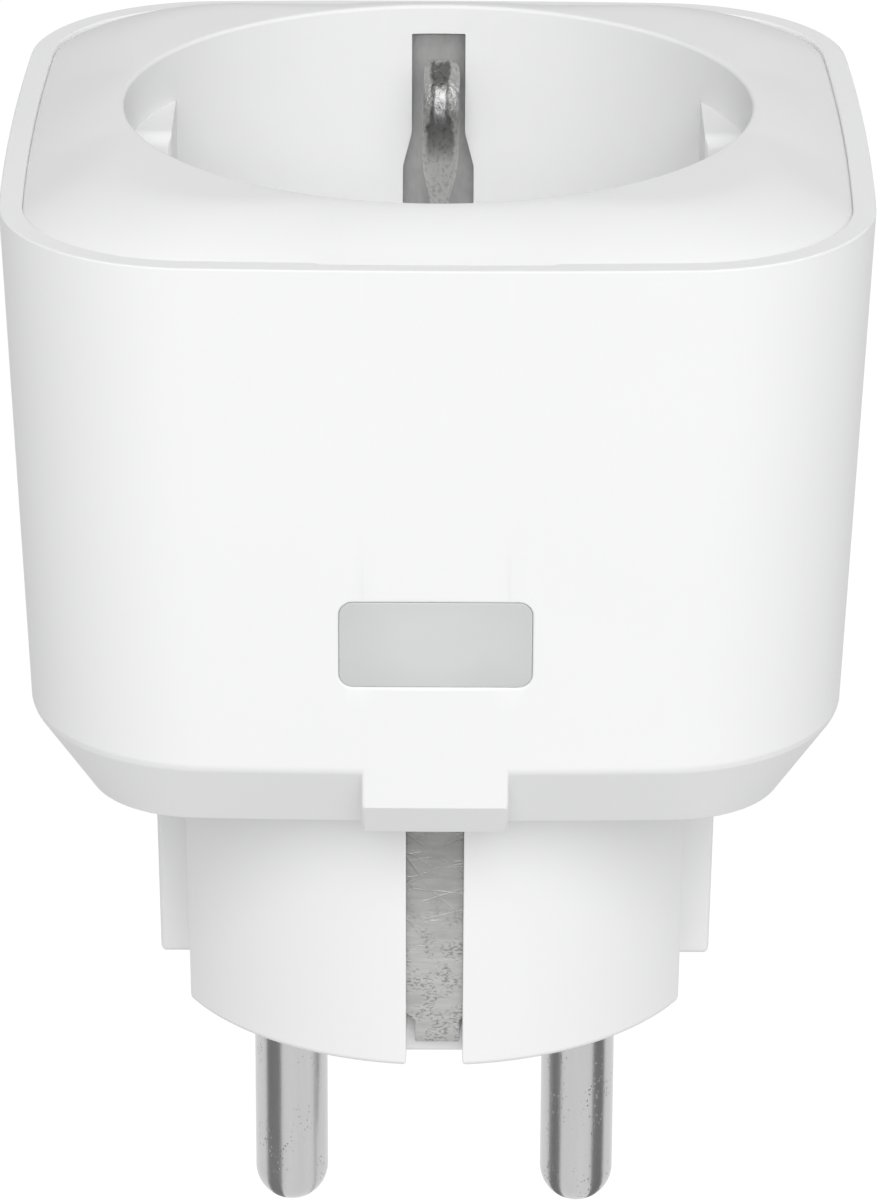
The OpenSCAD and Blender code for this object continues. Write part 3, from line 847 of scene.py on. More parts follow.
@dataclass(frozen=True)
class WoundCore:
    """Enamelled wire wound in close turns between dark ferrite cheeks."""

    name: str
    wire: Colour
    core: Colour
    low_m: float
    high_m: float
    blur_m: float = 0.0001

    def make(self) -> bpy.types.Material:
        """Build the material.

        Returns:
            The material.
        """
        bench = Bench(self.name)
        turns = bench.add("ShaderNodeTexWave", bands_direction="Z", Scale=780.0)
        bench.link(bench.place, turns.inputs["Vector"])
        inside = bench.combine("MULTIPLY",
                               bench.remap(bench.axis("Z"), self.low_m, self.low_m + self.blur_m, 0.0, 1.0),
                               bench.remap(bench.axis("Z"), self.high_m, self.high_m + self.blur_m, 1.0, 0.0))
        wire = bench.colours(turns.outputs["Fac"], [(0.0, shade(self.wire, 0.5)), (0.6, self.wire)])
        core = bench.between(bench.noise(1200.0), shade(self.core, 0.8), self.core)
        bench.paint(bench.blend(inside, core, wire))
        bench.polish(inside, 0.6, 0.28, 0.0, 1.0)
        bench.bump(turns.outputs["Fac"], 0.06, 0.8)
        return bench.material


@dataclass(frozen=True)
class SleevedCan:
    """A capacitor's dark shrink sleeve with a pale stripe, and a bare aluminium top."""

    name: str
    sleeve: Colour
    stripe: Colour
    top_m: float
    stripe_y_m: float = 0.0116

    def make(self) -> bpy.types.Material:
        """Build the material.

        Returns:
            The material.
        """
        bench = Bench(self.name)
        up = bench.remap(bench.axis("Z"), self.top_m - 0.00005, self.top_m, 0.0, 1.0)
        bare = bench.between(bench.noise(1500.0, 3.0), (0.62, 0.62, 0.63), (0.8, 0.8, 0.81))
        side = bench.remap(bench.axis("Y"), self.stripe_y_m, self.stripe_y_m + 0.0001, 0.0, 1.0)
        band = bench.colours(side, [(0.45, self.sleeve), (0.55, self.stripe)])
        bench.paint(bench.blend(up, band, bare))
        bench.link(bench.remap(up, 0.0, 1.0, 0.0, 1.0), bench.shader.inputs["Metallic"])
        bench.polish(bench.noise(600.0), 0.28, 0.36)
        bench.bump(bench.noise(2500.0), 0.004)
        return bench.material


@dataclass(frozen=True)
class LeadedChip:
    """Black moulding compound, with tinned legs beyond its two long sides."""

    name: str
    centre_m: float
    half_m: float
    blur_m: float = 0.00002

    def make(self) -> bpy.types.Material:
        """Build the material.

        Returns:
            The material.
        """
        bench = Bench(self.name)
        back, front = self.centre_m + self.half_m, self.centre_m - self.half_m
        leg = bench.combine("MAXIMUM", bench.remap(bench.axis("Y"), back, back + self.blur_m, 0.0, 1.0),
                            bench.remap(bench.axis("Y"), front - self.blur_m, front, 1.0, 0.0))
        grain = bench.noise(6000.0)
        black = bench.between(grain, (0.018, 0.018, 0.019), (0.032, 0.032, 0.033))
        tin = bench.between(grain, grey(0.62), (0.78, 0.78, 0.77))
        bench.paint(bench.blend(leg, black, tin))
        bench.link(bench.remap(leg, 0.0, 1.0, 0.0, 1.0), bench.shader.inputs["Metallic"])
        bench.polish(leg, 0.62, 0.3, 0.0, 1.0)
        bench.bump(grain, 0.006)
        return bench.material


@dataclass(frozen=True)
class BandedResistor:
    """A lacquered resistor body along X with value bands and bare wire ends."""

    name: str
    body: Colour
    half_m: float = 0.0045
    bands: tuple[tuple[float, Colour], ...] = (
        (0.17, (0.20, 0.07, 0.02)), (0.33, (0.01, 0.01, 0.01)), (0.49, (0.01, 0.01, 0.01)),
        (0.8, (0.65, 0.45, 0.12)))
    band_width: float = 0.08

    def make(self) -> bpy.types.Material:
        """Build the material.

        Returns:
            The material.
        """
        bench = Bench(self.name)
        along = bench.remap(bench.axis("X"), -self.half_m, self.half_m, 0.0, 1.0)
        stops: list[tuple[float, Colour]] = [(0.0, self.body)]
        for at, colour in self.bands:
            stops += [(at, colour), (at + self.band_width, self.body)]
        painted = bench.colours(along, stops)
        painted.node.color_ramp.interpolation = "CONSTANT"
        bench.paint(painted)
        bench.polish(bench.noise(700.0), 0.24, 0.32)
        bench.bump(bench.noise(1200.0), 0.01)
        return bench.material


# ---------------------------------------------------------------- hand-over


def dress(piece: bpy.types.Object, material: bpy.types.Material) -> None:
    """Give a piece one material."""
    piece.data.materials.clear()
    piece.data.materials.append(material)


def hand_over(piece: bpy.types.Object, body: str, node: str) -> bpy.types.Object:
    """Tell the frame what a piece rides on and stands for.

    Args:
        piece: The finished mesh, dressed.
        body: The body it moves with.
        node: The CAD node that it replaces.

    Returns:
        The piece.
    """
    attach(piece, body)
    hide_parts(node)
    LOG.info("%s: %d faces, rides %s, stands for %s", piece.name, len(piece.data.polygons), body, node)
    return piece


def finished(piece: bpy.types.Object, body: str, node: str, finish: Finish) -> bpy.types.Object:
    """Dress a piece in a finish of its own and hand it over; see hand_over for the rest."""
    dress(piece, finish.make())
    return hand_over(piece, body, node)


# ---------------------------------------------------------------- the moulded outline


@dataclass(frozen=True)
class Outline:
    """A square with round corners whose sides bow outward a little, seen from above."""

    half: float
    corner: float
    bulge: float = 0.29
    depth_ratio: float = 53.0 / 53.2

    def arcs(self) -> tuple[float, float, float]:
        """Return the side arc's radius, the corner centre and the half length of a side."""
        side = self.half - self.corner
        big = side * side / (2.0 * self.bulge)
        away = self.half - big
        total = (big - self.corner) ** 2
        centre = (away + math.sqrt(max(2.0 * total - away * away, 0.0))) / 2.0
        angle = math.atan2(centre, centre - away)
        return big, centre, big * math.sin(angle)

    def side_depth(self, u: float) -> float:
        """Return how far the side stands from the centre at a place u along it."""
        big, _, _ = self.arcs()
        return self.half - big + math.sqrt(big * big - u * u)


@dataclass(frozen=True)
class Stations:
    """The shared places of points round every ring: fine over the middle of each side."""

    inner: tuple[float, ...]
    reach: float = 8.0
    outer_steps: int = 9
    corner_steps: int = 18

    def side(self, half_length: float) -> list[tuple[float, int]]:
        """Return the places along one side, each with the index of its inner station or -1."""
        outer = [mix(self.reach, half_length, i / self.outer_steps) for i in range(1, self.outer_steps + 1)]
        low = [(-u, -1) for u in reversed(outer)]
        middle = [(u, i) for i, u in enumerate(self.inner)]
        return [*low, *middle, *((u, -1) for u in outer)]

    def ring(self, outline: Outline, z: float, front: FrontRule | None = None) -> Ring:
        """Return one ring of points, anticlockwise from above, starting on the right side.

        Args:
            outline: The ring's shape.
            z: Its height.
            front: Gives a changed depth on the front side from the place along it, the inner
                station's index and the plain depth, or None to leave it plain.

        Returns:
            The points.
        """
        big, centre, half_length = outline.arcs()
        start = math.atan2(half_length, math.sqrt(big * big - half_length * half_length))
        points: Ring = []
        for quarter in range(4):
            turn = Matrix.Rotation(math.pi / 2.0 * quarter, 2)
            for u, index in self.side(half_length):
                depth = outline.side_depth(u)
                if quarter == 3 and front and index >= 0:
                    depth = front(u, index, depth)
                flat = turn @ Vector((depth, u))
                points.append(Vector((flat.x, flat.y * outline.depth_ratio, z)))
            for i in range(1, self.corner_steps):
                angle = mix(start, math.pi / 2.0 - start, i / self.corner_steps)
                flat = turn @ Vector((centre + outline.corner * math.cos(angle),
                                      centre + outline.corner * math.sin(angle)))
                points.append(Vector((flat.x, flat.y * outline.depth_ratio, z)))
        return points

    def circle(self, guide: Ring, radius: float, z: float) -> Ring:
        """Return a round ring whose points lie at the same bearings as a guide ring's."""
        return [Vector((p.x, p.y, 0.0)).normalized() * radius + Vector((0.0, 0.0, z)) for p in guide]


def tab_stations(half_width: float, fillet: float, steps: int) -> tuple[tuple[float, ...], tuple[float, ...]]:
    """Lay out the places along a side that carry the front tab's crisp flanks.

    Args:
        half_width: Half the tab's width.
        fillet: Radius along the tab's upright edges.
        steps: Segments in that fillet.

    Returns:
        The places along the side, and at each how far the tab's face is drawn back, or -1
        where there is no tab.
    """
    flat = half_width - fillet
    right: list[Pair] = [(flat - flat * (1.0 - i / 6.0), 0.0) for i in range(6)]
    right += [(flat + fillet * math.sin(a), fillet * (1.0 - math.cos(a))) for a in quarter_turn(steps)]
    right += [(u, -1.0) for u in (half_width, half_width + 0.3, 5.4, 6.2, 6.8, 7.0, 7.2, 8.0)]
    left = [(-u, d) for u, d in reversed(right[1:])]
    places = [*left, *right]
    return tuple(u for u, _ in places), tuple(d for _, d in places)


TAB_PLACES, TAB_DRAWS = tab_stations(half_width=4.45, fillet=0.22, steps=4)
STATIONS = Stations(TAB_PLACES)


# ---------------------------------------------------------------- housing


@dataclass
class Housing:
    """The white outer shell: drafted walls, a chamfered foot, a tab and a window in the front."""

    base_z: float = 18.8
    crease_z: float = 23.8
    rim_z: float = 56.4
    base_half: float = 21.65
    crease_half: float = 25.4
    rim_half: float = 26.6
    base_corner: float = 6.8
    rim_corner: float = 11.8
    rim_width: float = 1.4
    wall: float = 1.8
    floor: float = 2.0
    hole_r: float = 18.6
    tower_r: float = 3.6
    tower_height: float = 2.2
    key_step: float = 0.28
    key_half: float = 7.0
    tab_top_z: float = 25.8
    tab_bevel_z: float = 21.4
    tab_foot_y: float = 23.3
    tab_foot_fillet: float = 0.2
    window_z: float = 32.3
    window_width: float = 11.6
    window_height: float = 5.6
    window_corner: float = 0.85
    window_fillet: float = 0.16
    screw_xy: float = 16.5
    seat_z: float = 54.35
    finish: MouldedPlastic = MouldedPlastic("white_shell_plastic", (0.862, 0.865, 0.865), 0.58)

    def foot_share(self, z: float) -> float:
        """Return how far up the chamfered foot a height lies, from 0 to 1 and beyond."""
        return (z - self.base_z) / (self.crease_z - self.base_z)

    def foot_half(self, z: float) -> float:
        """Return the chamfered foot's half width at a height."""
        return mix(self.base_half, self.crease_half, self.foot_share(z))

    def corner_at(self, z: float) -> float:
        """Return the outline's corner radius at a height."""
        return mix(self.base_corner, self.rim_corner, min(self.foot_share(z), 1.0))

    def wall_half(self, z: float) -> float:
        """Return the drafted wall's half width at a height, run on below the crease too."""
        return mix(self.crease_half, self.rim_half, (z - self.crease_z) / (self.rim_z - self.crease_z))

    def wall_y(self, u: float, z: float) -> float:
        """Return the depth of the front wall's outer face at a place."""
        outline = Outline(self.wall_half(z), self.rim_corner)
        return -outline.side_depth(u) * outline.depth_ratio

    def tab_depth(self, z: float) -> float:
        """Return how far the tab's bevel cuts back from the wall's plane at a height."""
        if z >= self.tab_bevel_z:
            return 0.0
        foot_cut = self.wall_half(self.base_z) - self.tab_foot_y
        t = (self.tab_bevel_z - z) / (self.tab_bevel_z - self.base_z)
        return foot_cut * t

    def front(self, z: float) -> FrontRule:
        """Return the rule that carries the tab on the front side at a height.

        Args:
            z: The height.
        """

        def depth(u: float, index: int, plain: float) -> float:
            """Return the depth with the tab standing out from it."""
            drawn = TAB_DRAWS[index]
            if drawn < 0.0 or z > self.tab_top_z:
                return plain
            face = Outline(self.wall_half(z), self.rim_corner).side_depth(u)
            fillet = self.tab_foot_fillet
            round_foot = fillet * max(0.0, 1.0 - (z - self.base_z) / fillet) ** 2
            return max(plain, face - self.tab_depth(z) - drawn - round_foot)

        return depth

    def keyed(self, u: float, index: int, plain: float) -> float:
        """Return the depth of the seat's front side, with its shallow locating step."""
        edge = smooth((self.key_half + 0.2 - abs(u)) / 0.4)
        return plain + self.key_step * edge

    def section(self) -> list[Pair]:
        """Return the outer profile as half width and height, from the foot to the rim."""
        corners = [(self.hole_r, self.base_z, 0.0), (self.base_half, self.base_z, 0.35),
                   (self.crease_half, self.crease_z, 1.1), (self.rim_half, self.rim_z, 0.11),
                   (self.rim_half - self.rim_width, self.rim_z, 0.1),
                   (self.rim_half - self.rim_width, self.seat_z, 0.0)]
        return rounded_path(corners, 7)[1:]

    def shell(self) -> bpy.types.Object:
        """Build the hollow shell as one closed band of rings.

        Returns:
            The shell.
        """
        guide = STATIONS.ring(Outline(self.rim_half, self.rim_corner), 0.0)
        rings: list[Ring] = [STATIONS.circle(guide, self.hole_r, self.base_z)]
        levels = self.section()
        top = max(i for i, (half, z) in enumerate(levels) if half > self.rim_half - 0.3)
        extra = [(self.foot_half(z), z)
                 for z in (self.tab_bevel_z - 0.25, self.tab_bevel_z, self.tab_bevel_z + 0.25)]
        walls = [(self.wall_half(z), z) for z in (28.0, 34.0, 40.0, 46.0, 52.0)]
        outer = sorted(levels[:top], key=lambda p: (p[1], p[0])) + extra + walls
        outer.sort(key=lambda p: (round(p[1], 4), p[0]))
        for half, z in outer:
            rings.append(STATIONS.ring(Outline(half, self.corner_at(z)), z, self.front(z)))
        for half, z in levels[top:]:
            inset = self.rim_half - half
            keyed = self.keyed if inset > self.rim_width / 2.0 else None
            rings.append(STATIONS.ring(Outline(half, self.rim_corner - inset), z, keyed))
        for z in (self.seat_z, self.crease_z, self.base_z + self.floor):
            half = self.wall_half(z) if z >= self.crease_z else self.foot_half(z)
            rings.append(STATIONS.ring(Outline(half - self.wall, self.corner_at(z) - self.wall), z))
        rings.append(STATIONS.circle(guide, self.hole_r, self.base_z + self.floor))
        solid = Solid()
        solid.loft(rings, closed=True)
        return solid.build("housing_shell")

    def window_cutter(self) -> bpy.types.Object:
        """Build the window's cutter, flared where it meets the wall so that it leaves a fillet.

        Returns:
            The cutter.
        """
        fillet = self.window_fillet
        profile = [(fillet * 1.15, -2.0), (fillet * 1.15, -0.012)]
        profile += [(fillet * (1.0 - math.sin(a)), fillet * (1.0 - math.cos(a))) for a in quarter_turn(5, 1)]
        profile.append((0.0, 5.0))
        solid = Solid()
        rings = []
        for grow, depth in profile:
            outline = rounded_rectangle(self.window_width + 2.0 * grow, self.window_height + 2.0 * grow,
                                        self.window_corner + grow, 8)
            rings.append([(u, self.wall_y(u, self.window_z + v) + depth, self.window_z + v)
                          for u, v in outline])
        solid.loft(rings)
        return solid.build("window_cutter")

    def build(self) -> bpy.types.Object:
        """Build the finished shell.

        Returns:
            The shell, on the housing body.
        """
        shell = self.shell()
        combine(shell, Join.CUT, self.window_cutter())
        floor_z = self.base_z + self.floor
        tower_top = floor_z + self.tower_height
        tower = [(self.tower_r, floor_z - 0.3), (self.tower_r, tower_top - 0.2),
                 (self.tower_r - 0.2, tower_top)]
        head, shank = 2.4, 1.5
        bore = [(head + 0.22, self.base_z - 1.0), (head + 0.22, self.base_z - 0.01),
                (head + 0.06, self.base_z + 0.16), (head, self.base_z + 0.3), (head, self.base_z + 2.4),
                (shank, self.base_z + 2.4001), (shank, tower_top + 1.0)]
        places = self.screw_places()
        combine(shell, Join.ADD, *(disc_stack("tower", at, tower, 40) for at in places))
        combine(shell, Join.CUT, *(disc_stack("bore", at, bore, 40) for at in places))
        soften(shell)
        return finished(shell, "housing", "outer_shell", self.finish)

    def screw_places(self) -> list[Sequence[float]]:
        """Return the four screw axes."""
        return [(x * self.screw_xy, y * self.screw_xy, 0.0) for x in (-1.0, 1.0) for y in (-1.0, 1.0)]


@dataclass
class TopInsert:
    """The domed top plate with the socket recess, its keying ribs, slots and pin holes."""

    housing: Housing = field(default_factory=Housing)
    gap: float = 0.012
    edge_drop: float = 0.25
    top_z: float = 58.2
    crown: float = 6.6
    crown_power: float = 1.6
    recess_r: float = 19.5
    recess_z: float = 40.7
    cup_r: float = 21.0
    cup_low_z: float = 38.5
    lip_fillet: float = 0.24
    key_x: float = 16.75
    groove_half: float = 3.0
    rib_fillet: float = 0.9
    rib_top_z: float = 54.8
    slot_half: float = 1.75
    slot_low_half: float = 2.34
    slot_neck_z: Pair = (47.2, 49.5)
    slot_top_z: float = 56.3
    pin_x: float = 9.5
    pin_hole_r: float = 2.7
    finish: MouldedPlastic = MouldedPlastic("white_insert_plastic", (0.84, 0.842, 0.842), 0.6)

    def plate(self, drawn: float = 0.0) -> Outline:
        """Return the plate's outline, drawn inward by a distance."""
        drawn += self.housing.rim_width + self.gap
        return Outline(self.housing.rim_half - drawn, self.housing.rim_corner - drawn)

    def dome(self, guide: Ring) -> list[Ring]:
        """Return the rings of the crowned plate, from its outer edge to the recess lip.

        Args:
            guide: The plate's outline, whose bearings the lip's points share.

        Returns:
            The rings, in order.
        """
        edge_z = self.housing.rim_z - self.edge_drop
        stepped = STATIONS.ring(self.plate(), 0.0, self.housing.keyed)
        lip_r = self.recess_r + self.lip_fillet
        inner = STATIONS.circle(guide, lip_r, 0.0)
        rings = [STATIONS.ring(self.plate(), z, self.housing.keyed)
                 for z in (self.housing.seat_z, edge_z - 0.14)]
        steps = 14
        for i in range(steps + 1):
            ring = []
            for a, b, c in zip(guide, inner, stepped):
                width = (a - b).length
                reach = width * (i / steps) ** 1.3
                step_share = math.exp(-reach / 0.5)
                edge_round = 0.07 * math.exp(-reach / 0.1)
                at = a.lerp(b, reach / width) + (c - a) * step_share
                lift = 1.0 - (1.0 - min(reach / min(self.crown, width), 1.0)) ** self.crown_power
                ring.append(Vector((at.x, at.y, mix(edge_z, self.top_z, lift) - edge_round)))
            rings.append(ring)
        rings += [STATIONS.circle(guide, lip_r - self.lip_fillet * math.sin(a),
                                  self.top_z - self.lip_fillet * (1.0 - math.cos(a)))
                  for a in quarter_turn(8, 1)]
        return rings

    def body(self) -> bpy.types.Object:
        """Build the plate and the cup as one closed skin.

        Returns:
            The plate and cup.
        """
        guide = STATIONS.ring(self.plate(), 0.0)
        under_z = self.top_z - 2.2
        rings: list[Ring] = [STATIONS.circle(guide, r, self.cup_low_z) for r in (2.0, 9.0, 15.0, 20.6)]
        rings.append(STATIONS.circle(guide, self.cup_r, self.cup_low_z + 0.4))
        rings.append(STATIONS.circle(guide, self.cup_r, under_z))
        rings += [STATIONS.ring(self.plate(1.6), z) for z in (under_z, self.housing.seat_z)]
        rings += self.dome(guide)
        rings += [STATIONS.circle(guide, self.recess_r, z) for z in (54.0, 50.0, 46.0, 42.0)]
        fillet = 0.4
        rings += [STATIONS.circle(guide, self.recess_r - fillet * (1.0 - math.cos(a)),
                                  self.recess_z + fillet * (1.0 - math.sin(a))) for a in quarter_turn(4)]
        rings += [STATIONS.circle(guide, r, self.recess_z) for r in (15.0, 9.0, 2.0)]
        solid = Solid()
        solid.loft(rings)
        return solid.build("top_insert")

    def rib(self, side: float, way: float) -> bpy.types.Object:
        """Build one keying rib, rounded along its edges toward the groove.

        Args:
            side: 1 for the right side, -1 for the left.
            way: 1 for the rear rib, -1 for the front one.

        Returns:
            The rib's closed solid.
        """
        wall_r = 20.2
        end = math.sqrt(wall_r ** 2 - self.key_x ** 2)
        fillet = self.rib_fillet
        profile = [(self.groove_half + fillet * (1.0 - math.cos(a)),
                    self.rib_top_z - fillet * (1.0 - math.sin(a))) for a in quarter_turn(8)]
        profile += [(mix(self.groove_half + fillet, end, t), self.rib_top_z) for t in (0.25, 0.5, 0.75, 1.0)]
        solid = Solid()
        low_z = self.recess_z - 0.5
        rings = []
        for y, z in profile:
            far = max(math.sqrt(wall_r ** 2 - y * y), self.key_x + 0.01)
            near = self.key_x + 0.25 * max(0.0, 1.0 - (y - self.groove_half) / 0.5) ** 2
            rings.append([(side * near, way * y, low_z), (side * near, way * y, z - 0.12),
                          (side * (near + 0.04), way * y, z - 0.03), (side * (near + 0.12), way * y, z),
                          (side * far, way * y, z), (side * far, way * y, low_z)])
        solid.loft(rings)
        return solid.build("rib")

    def slot(self, way: float) -> bpy.types.Object:
        """Build the cutter for an earth clip's slot, on the rear for way 1 or the front for -1.

        Args:
            way: 1 for the rear or -1 for the front.

        Returns:
            The cutter.
        """
        wide_z, narrow_z = self.slot_neck_z
        left = [(-self.slot_half, self.slot_top_z, 0.08), (-self.slot_half, narrow_z, 1.6),
                (-self.slot_low_half, wide_z, 1.6), (-self.slot_low_half, 37.5, 0.0)]
        outline = rounded_polygon([*left, *((-u, v, radius) for u, v, radius in reversed(left))], 6)
        return prism("slot", outline, lambda u, v, level: (u, way * level, v), [18.5, 22.5])

    def pin_hole(self, side: float) -> bpy.types.Object:
        """Build the cutter for a pin hole, flared at the floor, on the right for side 1."""
        radius, floor = self.pin_hole_r, self.recess_z
        return disc_stack("pin_hole", (side * self.pin_x, 0.0, 0.0), [
            (radius, 37.5), (radius, floor - 0.4), (radius + 0.06, floor - 0.2),
            (radius + 0.16, floor - 0.08), (radius + 0.34, floor + 0.01), (radius + 0.34, floor + 1.0)], 64)

    def build(self) -> bpy.types.Object:
        """Build the finished insert.

        Returns:
            The insert, on the housing body.
        """
        insert = self.body()
        places = self.housing.screw_places()
        ribs = [self.rib(side, way) for side in (-1.0, 1.0) for way in (-1.0, 1.0)]
        posts = [disc_stack("post", at, [(2.8, 23.2), (3.0, 23.5), (3.0, 56.3)], 40) for at in places]
        bosses = [disc_stack("boss", (0.0, way * 11.0, 0.0), [(1.9, 35.3), (1.9, 39.0)], 32)
                  for way in (-1.0, 1.0)]
        pivot = disc_stack("pivot", (0.0, 0.0, 0.0), [(1.3, 34.3), (1.5, 34.5), (1.5, 39.0)], 32)
        combine(insert, Join.ADD, *ribs, *posts, *bosses, pivot)
        pilots = [disc_stack("pilot", at, [(1.25, 22.0), (1.25, 32.2)], 24) for at in places]
        combine(insert, Join.CUT, *pilots, self.slot(1.0), self.slot(-1.0), self.pin_hole(1.0),
                self.pin_hole(-1.0))
        soften(insert)
        return finished(insert, "housing", "socket_insert", self.finish)


# ---------------------------------------------------------------- plug


@dataclass
class Plug:
    """The round plug: drafted sides, flats with guide ribs, earth slots and a hollow inside."""

    face_r: float = 18.0
    grow: float = 0.3 / 18.0
    base_z: float = 18.8
    flange_z: float = 20.8
    top_z: float = 22.3
    flange_r: float = 19.6
    flat_x: float = 15.7
    guide_half: float = 1.9
    slot_half: float = 1.765
    slot_y: float = 15.9
    foot_fillet: float = 0.4
    wall: float = 1.6
    face: float = 3.0
    back_wall_half: float = 3.6
    back_wall_y: float = 14.5
    peg_xy: float = 12.6
    pin_x: float = 9.5
    finish: MouldedPlastic = MouldedPlastic("white_plug_plastic", (0.85, 0.852, 0.852), 0.45)

    def corners(self) -> list[tuple[float, float, float]]:
        """Return a quarter's corners from the guide rib's middle to the slot's.

        Returns:
            Points, each with its radius: above 0 where the corner stands out, below 0 where it
            runs in.
        """
        r = self.face_r
        guide_x = math.sqrt(r * r - self.guide_half ** 2)
        flat_y = math.sqrt(r * r - self.flat_x ** 2)
        slot_top = math.sqrt(r * r - self.slot_half ** 2)
        start = math.atan2(flat_y, self.flat_x)
        end = math.atan2(slot_top, self.slot_half) - 0.03
        steps = 44
        angles = [mix(start, end, i / steps) for i in range(1, steps + 1)]
        arc = [(r * math.cos(a), r * math.sin(a), 0.0) for a in angles]
        return [(r, 0.0, 0.0), (math.sqrt(r * r - 1.0), 1.0, 0.0), (guide_x, self.guide_half, 0.3),
                (self.flat_x, self.guide_half, -0.3), (self.flat_x, flat_y, 0.6), *arc,
                (self.slot_half, slot_top, 0.1), (self.slot_half, self.slot_y, -0.1), (0.0, self.slot_y, 0.0)]

    def outline(self, quarter: Sequence[Sequence[float]]) -> list[tuple[float, ...]]:
        """Mirror a quarter into the whole closed outline, anticlockwise."""
        right = [(x, -y, *rest) for x, y, *rest in reversed(quarter[1:-1])] + [tuple(p) for p in quarter]
        return right + [(-x, -y, *rest) for x, y, *rest in right]

    def ring(self, z: float, drawn: float) -> Ring:
        """Return the skin's ring at a height, drawn inward by a distance."""
        corners = self.outline(self.corners())
        places = inset([(x, y) for x, y, _ in corners], drawn)
        sized = []
        for (x, y), (_, _, radius) in zip(places, corners):
            if radius > 0.0:
                sized.append((x, y, max(radius - drawn, 0.03)))
            else:
                sized.append((x, y, drawn - radius if radius < 0.0 else 0.0))
        scale = 1.0 + self.grow * z / self.base_z
        return [Vector((x * scale, y * scale, z)) for x, y in rounded_polygon(sized, 6)]

    def skin(self) -> bpy.types.Object:
        """Build the outer skin with its rounded foot edge, up into the flange.

        Returns:
            The skin.
        """
        levels = [(self.foot_fillet * (1.0 - math.cos(a)), self.foot_fillet * (1.0 - math.sin(a)))
                  for a in quarter_turn(6)]
        levels += [(z, 0.0) for z in (5.0, 10.0, 15.0, self.base_z, self.flange_z + 0.2)]
        solid = Solid()
        solid.loft([self.ring(z, drawn) for z, drawn in levels])
        return solid.build("plug_body_shell")

    def cavity(self) -> bpy.types.Object:
        """Build the room inside, which steps round the walls behind the earth slots.

        Returns:
            The cutter.
        """
        r = self.face_r - self.wall
        side = self.flat_x - self.wall
        start, end = math.acos(side / r), math.acos(self.back_wall_half / r)
        steps = 20
        angles = [mix(start, end, i / steps) for i in range(steps + 1)]
        outline = self.outline([(side, 0.0), *((r * math.cos(a), r * math.sin(a)) for a in angles),
                                (self.back_wall_half, self.back_wall_y), (0.0, self.back_wall_y)])
        return prism("cavity", outline, lambda u, v, level: (u, v, level), [self.face, 24.0])

    def pin_hole(self, side: float) -> bpy.types.Object:
        """Build the cutter for a pin's hole, with the shallow ring gap round it."""
        return disc_stack("pin_hole", (side * self.pin_x, 0.0, 0.0), [
            (2.62, -1.0), (2.62, -0.01), (2.5, 0.1), (2.46, 0.3), (2.2, 0.3001), (2.2, 5.0), (1.6, 5.0001),
            (1.6, 8.0)], 64)

    def build(self) -> bpy.types.Object:
        """Build the finished plug body.

        Returns:
            The plug, on the housing body.
        """
        plug = self.skin()
        bevel = 0.2
        flange = disc_stack("flange", (0.0, 0.0, 0.0), [
            (self.flange_r - bevel, self.flange_z), (self.flange_r, self.flange_z + bevel),
            (self.flange_r, self.top_z - bevel), (self.flange_r - bevel, self.top_z)], 128)
        peg = [(1.4, 22.0), (1.4, 23.9), (1.3, 24.0)]
        pegs = [disc_stack("peg", (x * self.peg_xy, y * self.peg_xy, 0.0), peg, 24)
                for x in (-1.0, 1.0) for y in (-1.0, 1.0)]
        combine(plug, Join.ADD, flange, *pegs)
        combine(plug, Join.CUT, self.cavity())
        bosses = [disc_stack("boss", (s * self.pin_x, 0.0, 0.0), [(4.0, 2.0), (4.0, 7.0)], 48)
                  for s in (-1.0, 1.0)]
        combine(plug, Join.ADD, *bosses)
        slots = [prism("slot", [(-1.8, 15.9), (1.8, 15.9), (1.8, 17.3), (-1.8, 17.3)],
                       lambda u, v, level, way=way: (u, way * v, level), [self.base_z, 24.0])
                 for way in (-1.0, 1.0)]
        combine(plug, Join.CUT, self.pin_hole(-1.0), self.pin_hole(1.0), *slots)
        soften(plug)
        return finished(plug, "housing", "plug_body", self.finish)


class NodeTree:
    """A geometry tree with named inputs, ended by Realize Instances and Set Material."""

    def __init__(self, name: str, material: bpy.types.Material) -> None:
        """Make the tree with a geometry input and output.

        Args:
            name: The tree's name.
            material: The material that its last node sets.
        """
        self.group = bpy.data.node_groups.new(name, "GeometryNodeTree")
        self.ids: dict[str, str] = {}
        self.add_input("Points", "NodeSocketGeometry")
        self.group.interface.new_socket("Geometry", in_out="OUTPUT", socket_type="NodeSocketGeometry")
        self.entry = self.node("NodeGroupInput")
        self.realize = self.node("GeometryNodeRealizeInstances")
        paint = self.node("GeometryNodeSetMaterial")
        paint.inputs["Material"].default_value = material
        leave = self.node("NodeGroupOutput")
        self.link(self.realize.outputs[0], paint.inputs["Geometry"])
        self.link(paint.outputs[0], leave.inputs[0])

    def add_input(self, name: str, kind: str) -> None:
        """Add a named input to the tree."""
        socket = self.group.interface.new_socket(name, in_out="INPUT", socket_type=kind)
        self.ids[name] = socket.identifier

    def node(self, kind: str) -> bpy.types.Node:
        """Add a node to the tree."""
        return self.group.nodes.new(kind)

    def link(self, source: bpy.types.NodeSocket, target: bpy.types.NodeSocket) -> None:
        """Join an output to an input."""
        self.group.links.new(source, target)

    def run(self, piece: bpy.types.Object, values: dict[str, object]) -> bpy.types.Object:
        """Run the tree on a piece and keep the plain mesh that it makes.

        Args:
            piece: The object whose mesh holds the tree's points.
            values: Values for the named inputs.

        Returns:
            The piece, with the made mesh and no modifier.
        """
        modifier = piece.modifiers.new("nodes", "NODES")
        modifier.node_group = self.group
        for name, value in values.items():
            modifier[self.ids[name]] = value
        return settle(piece)


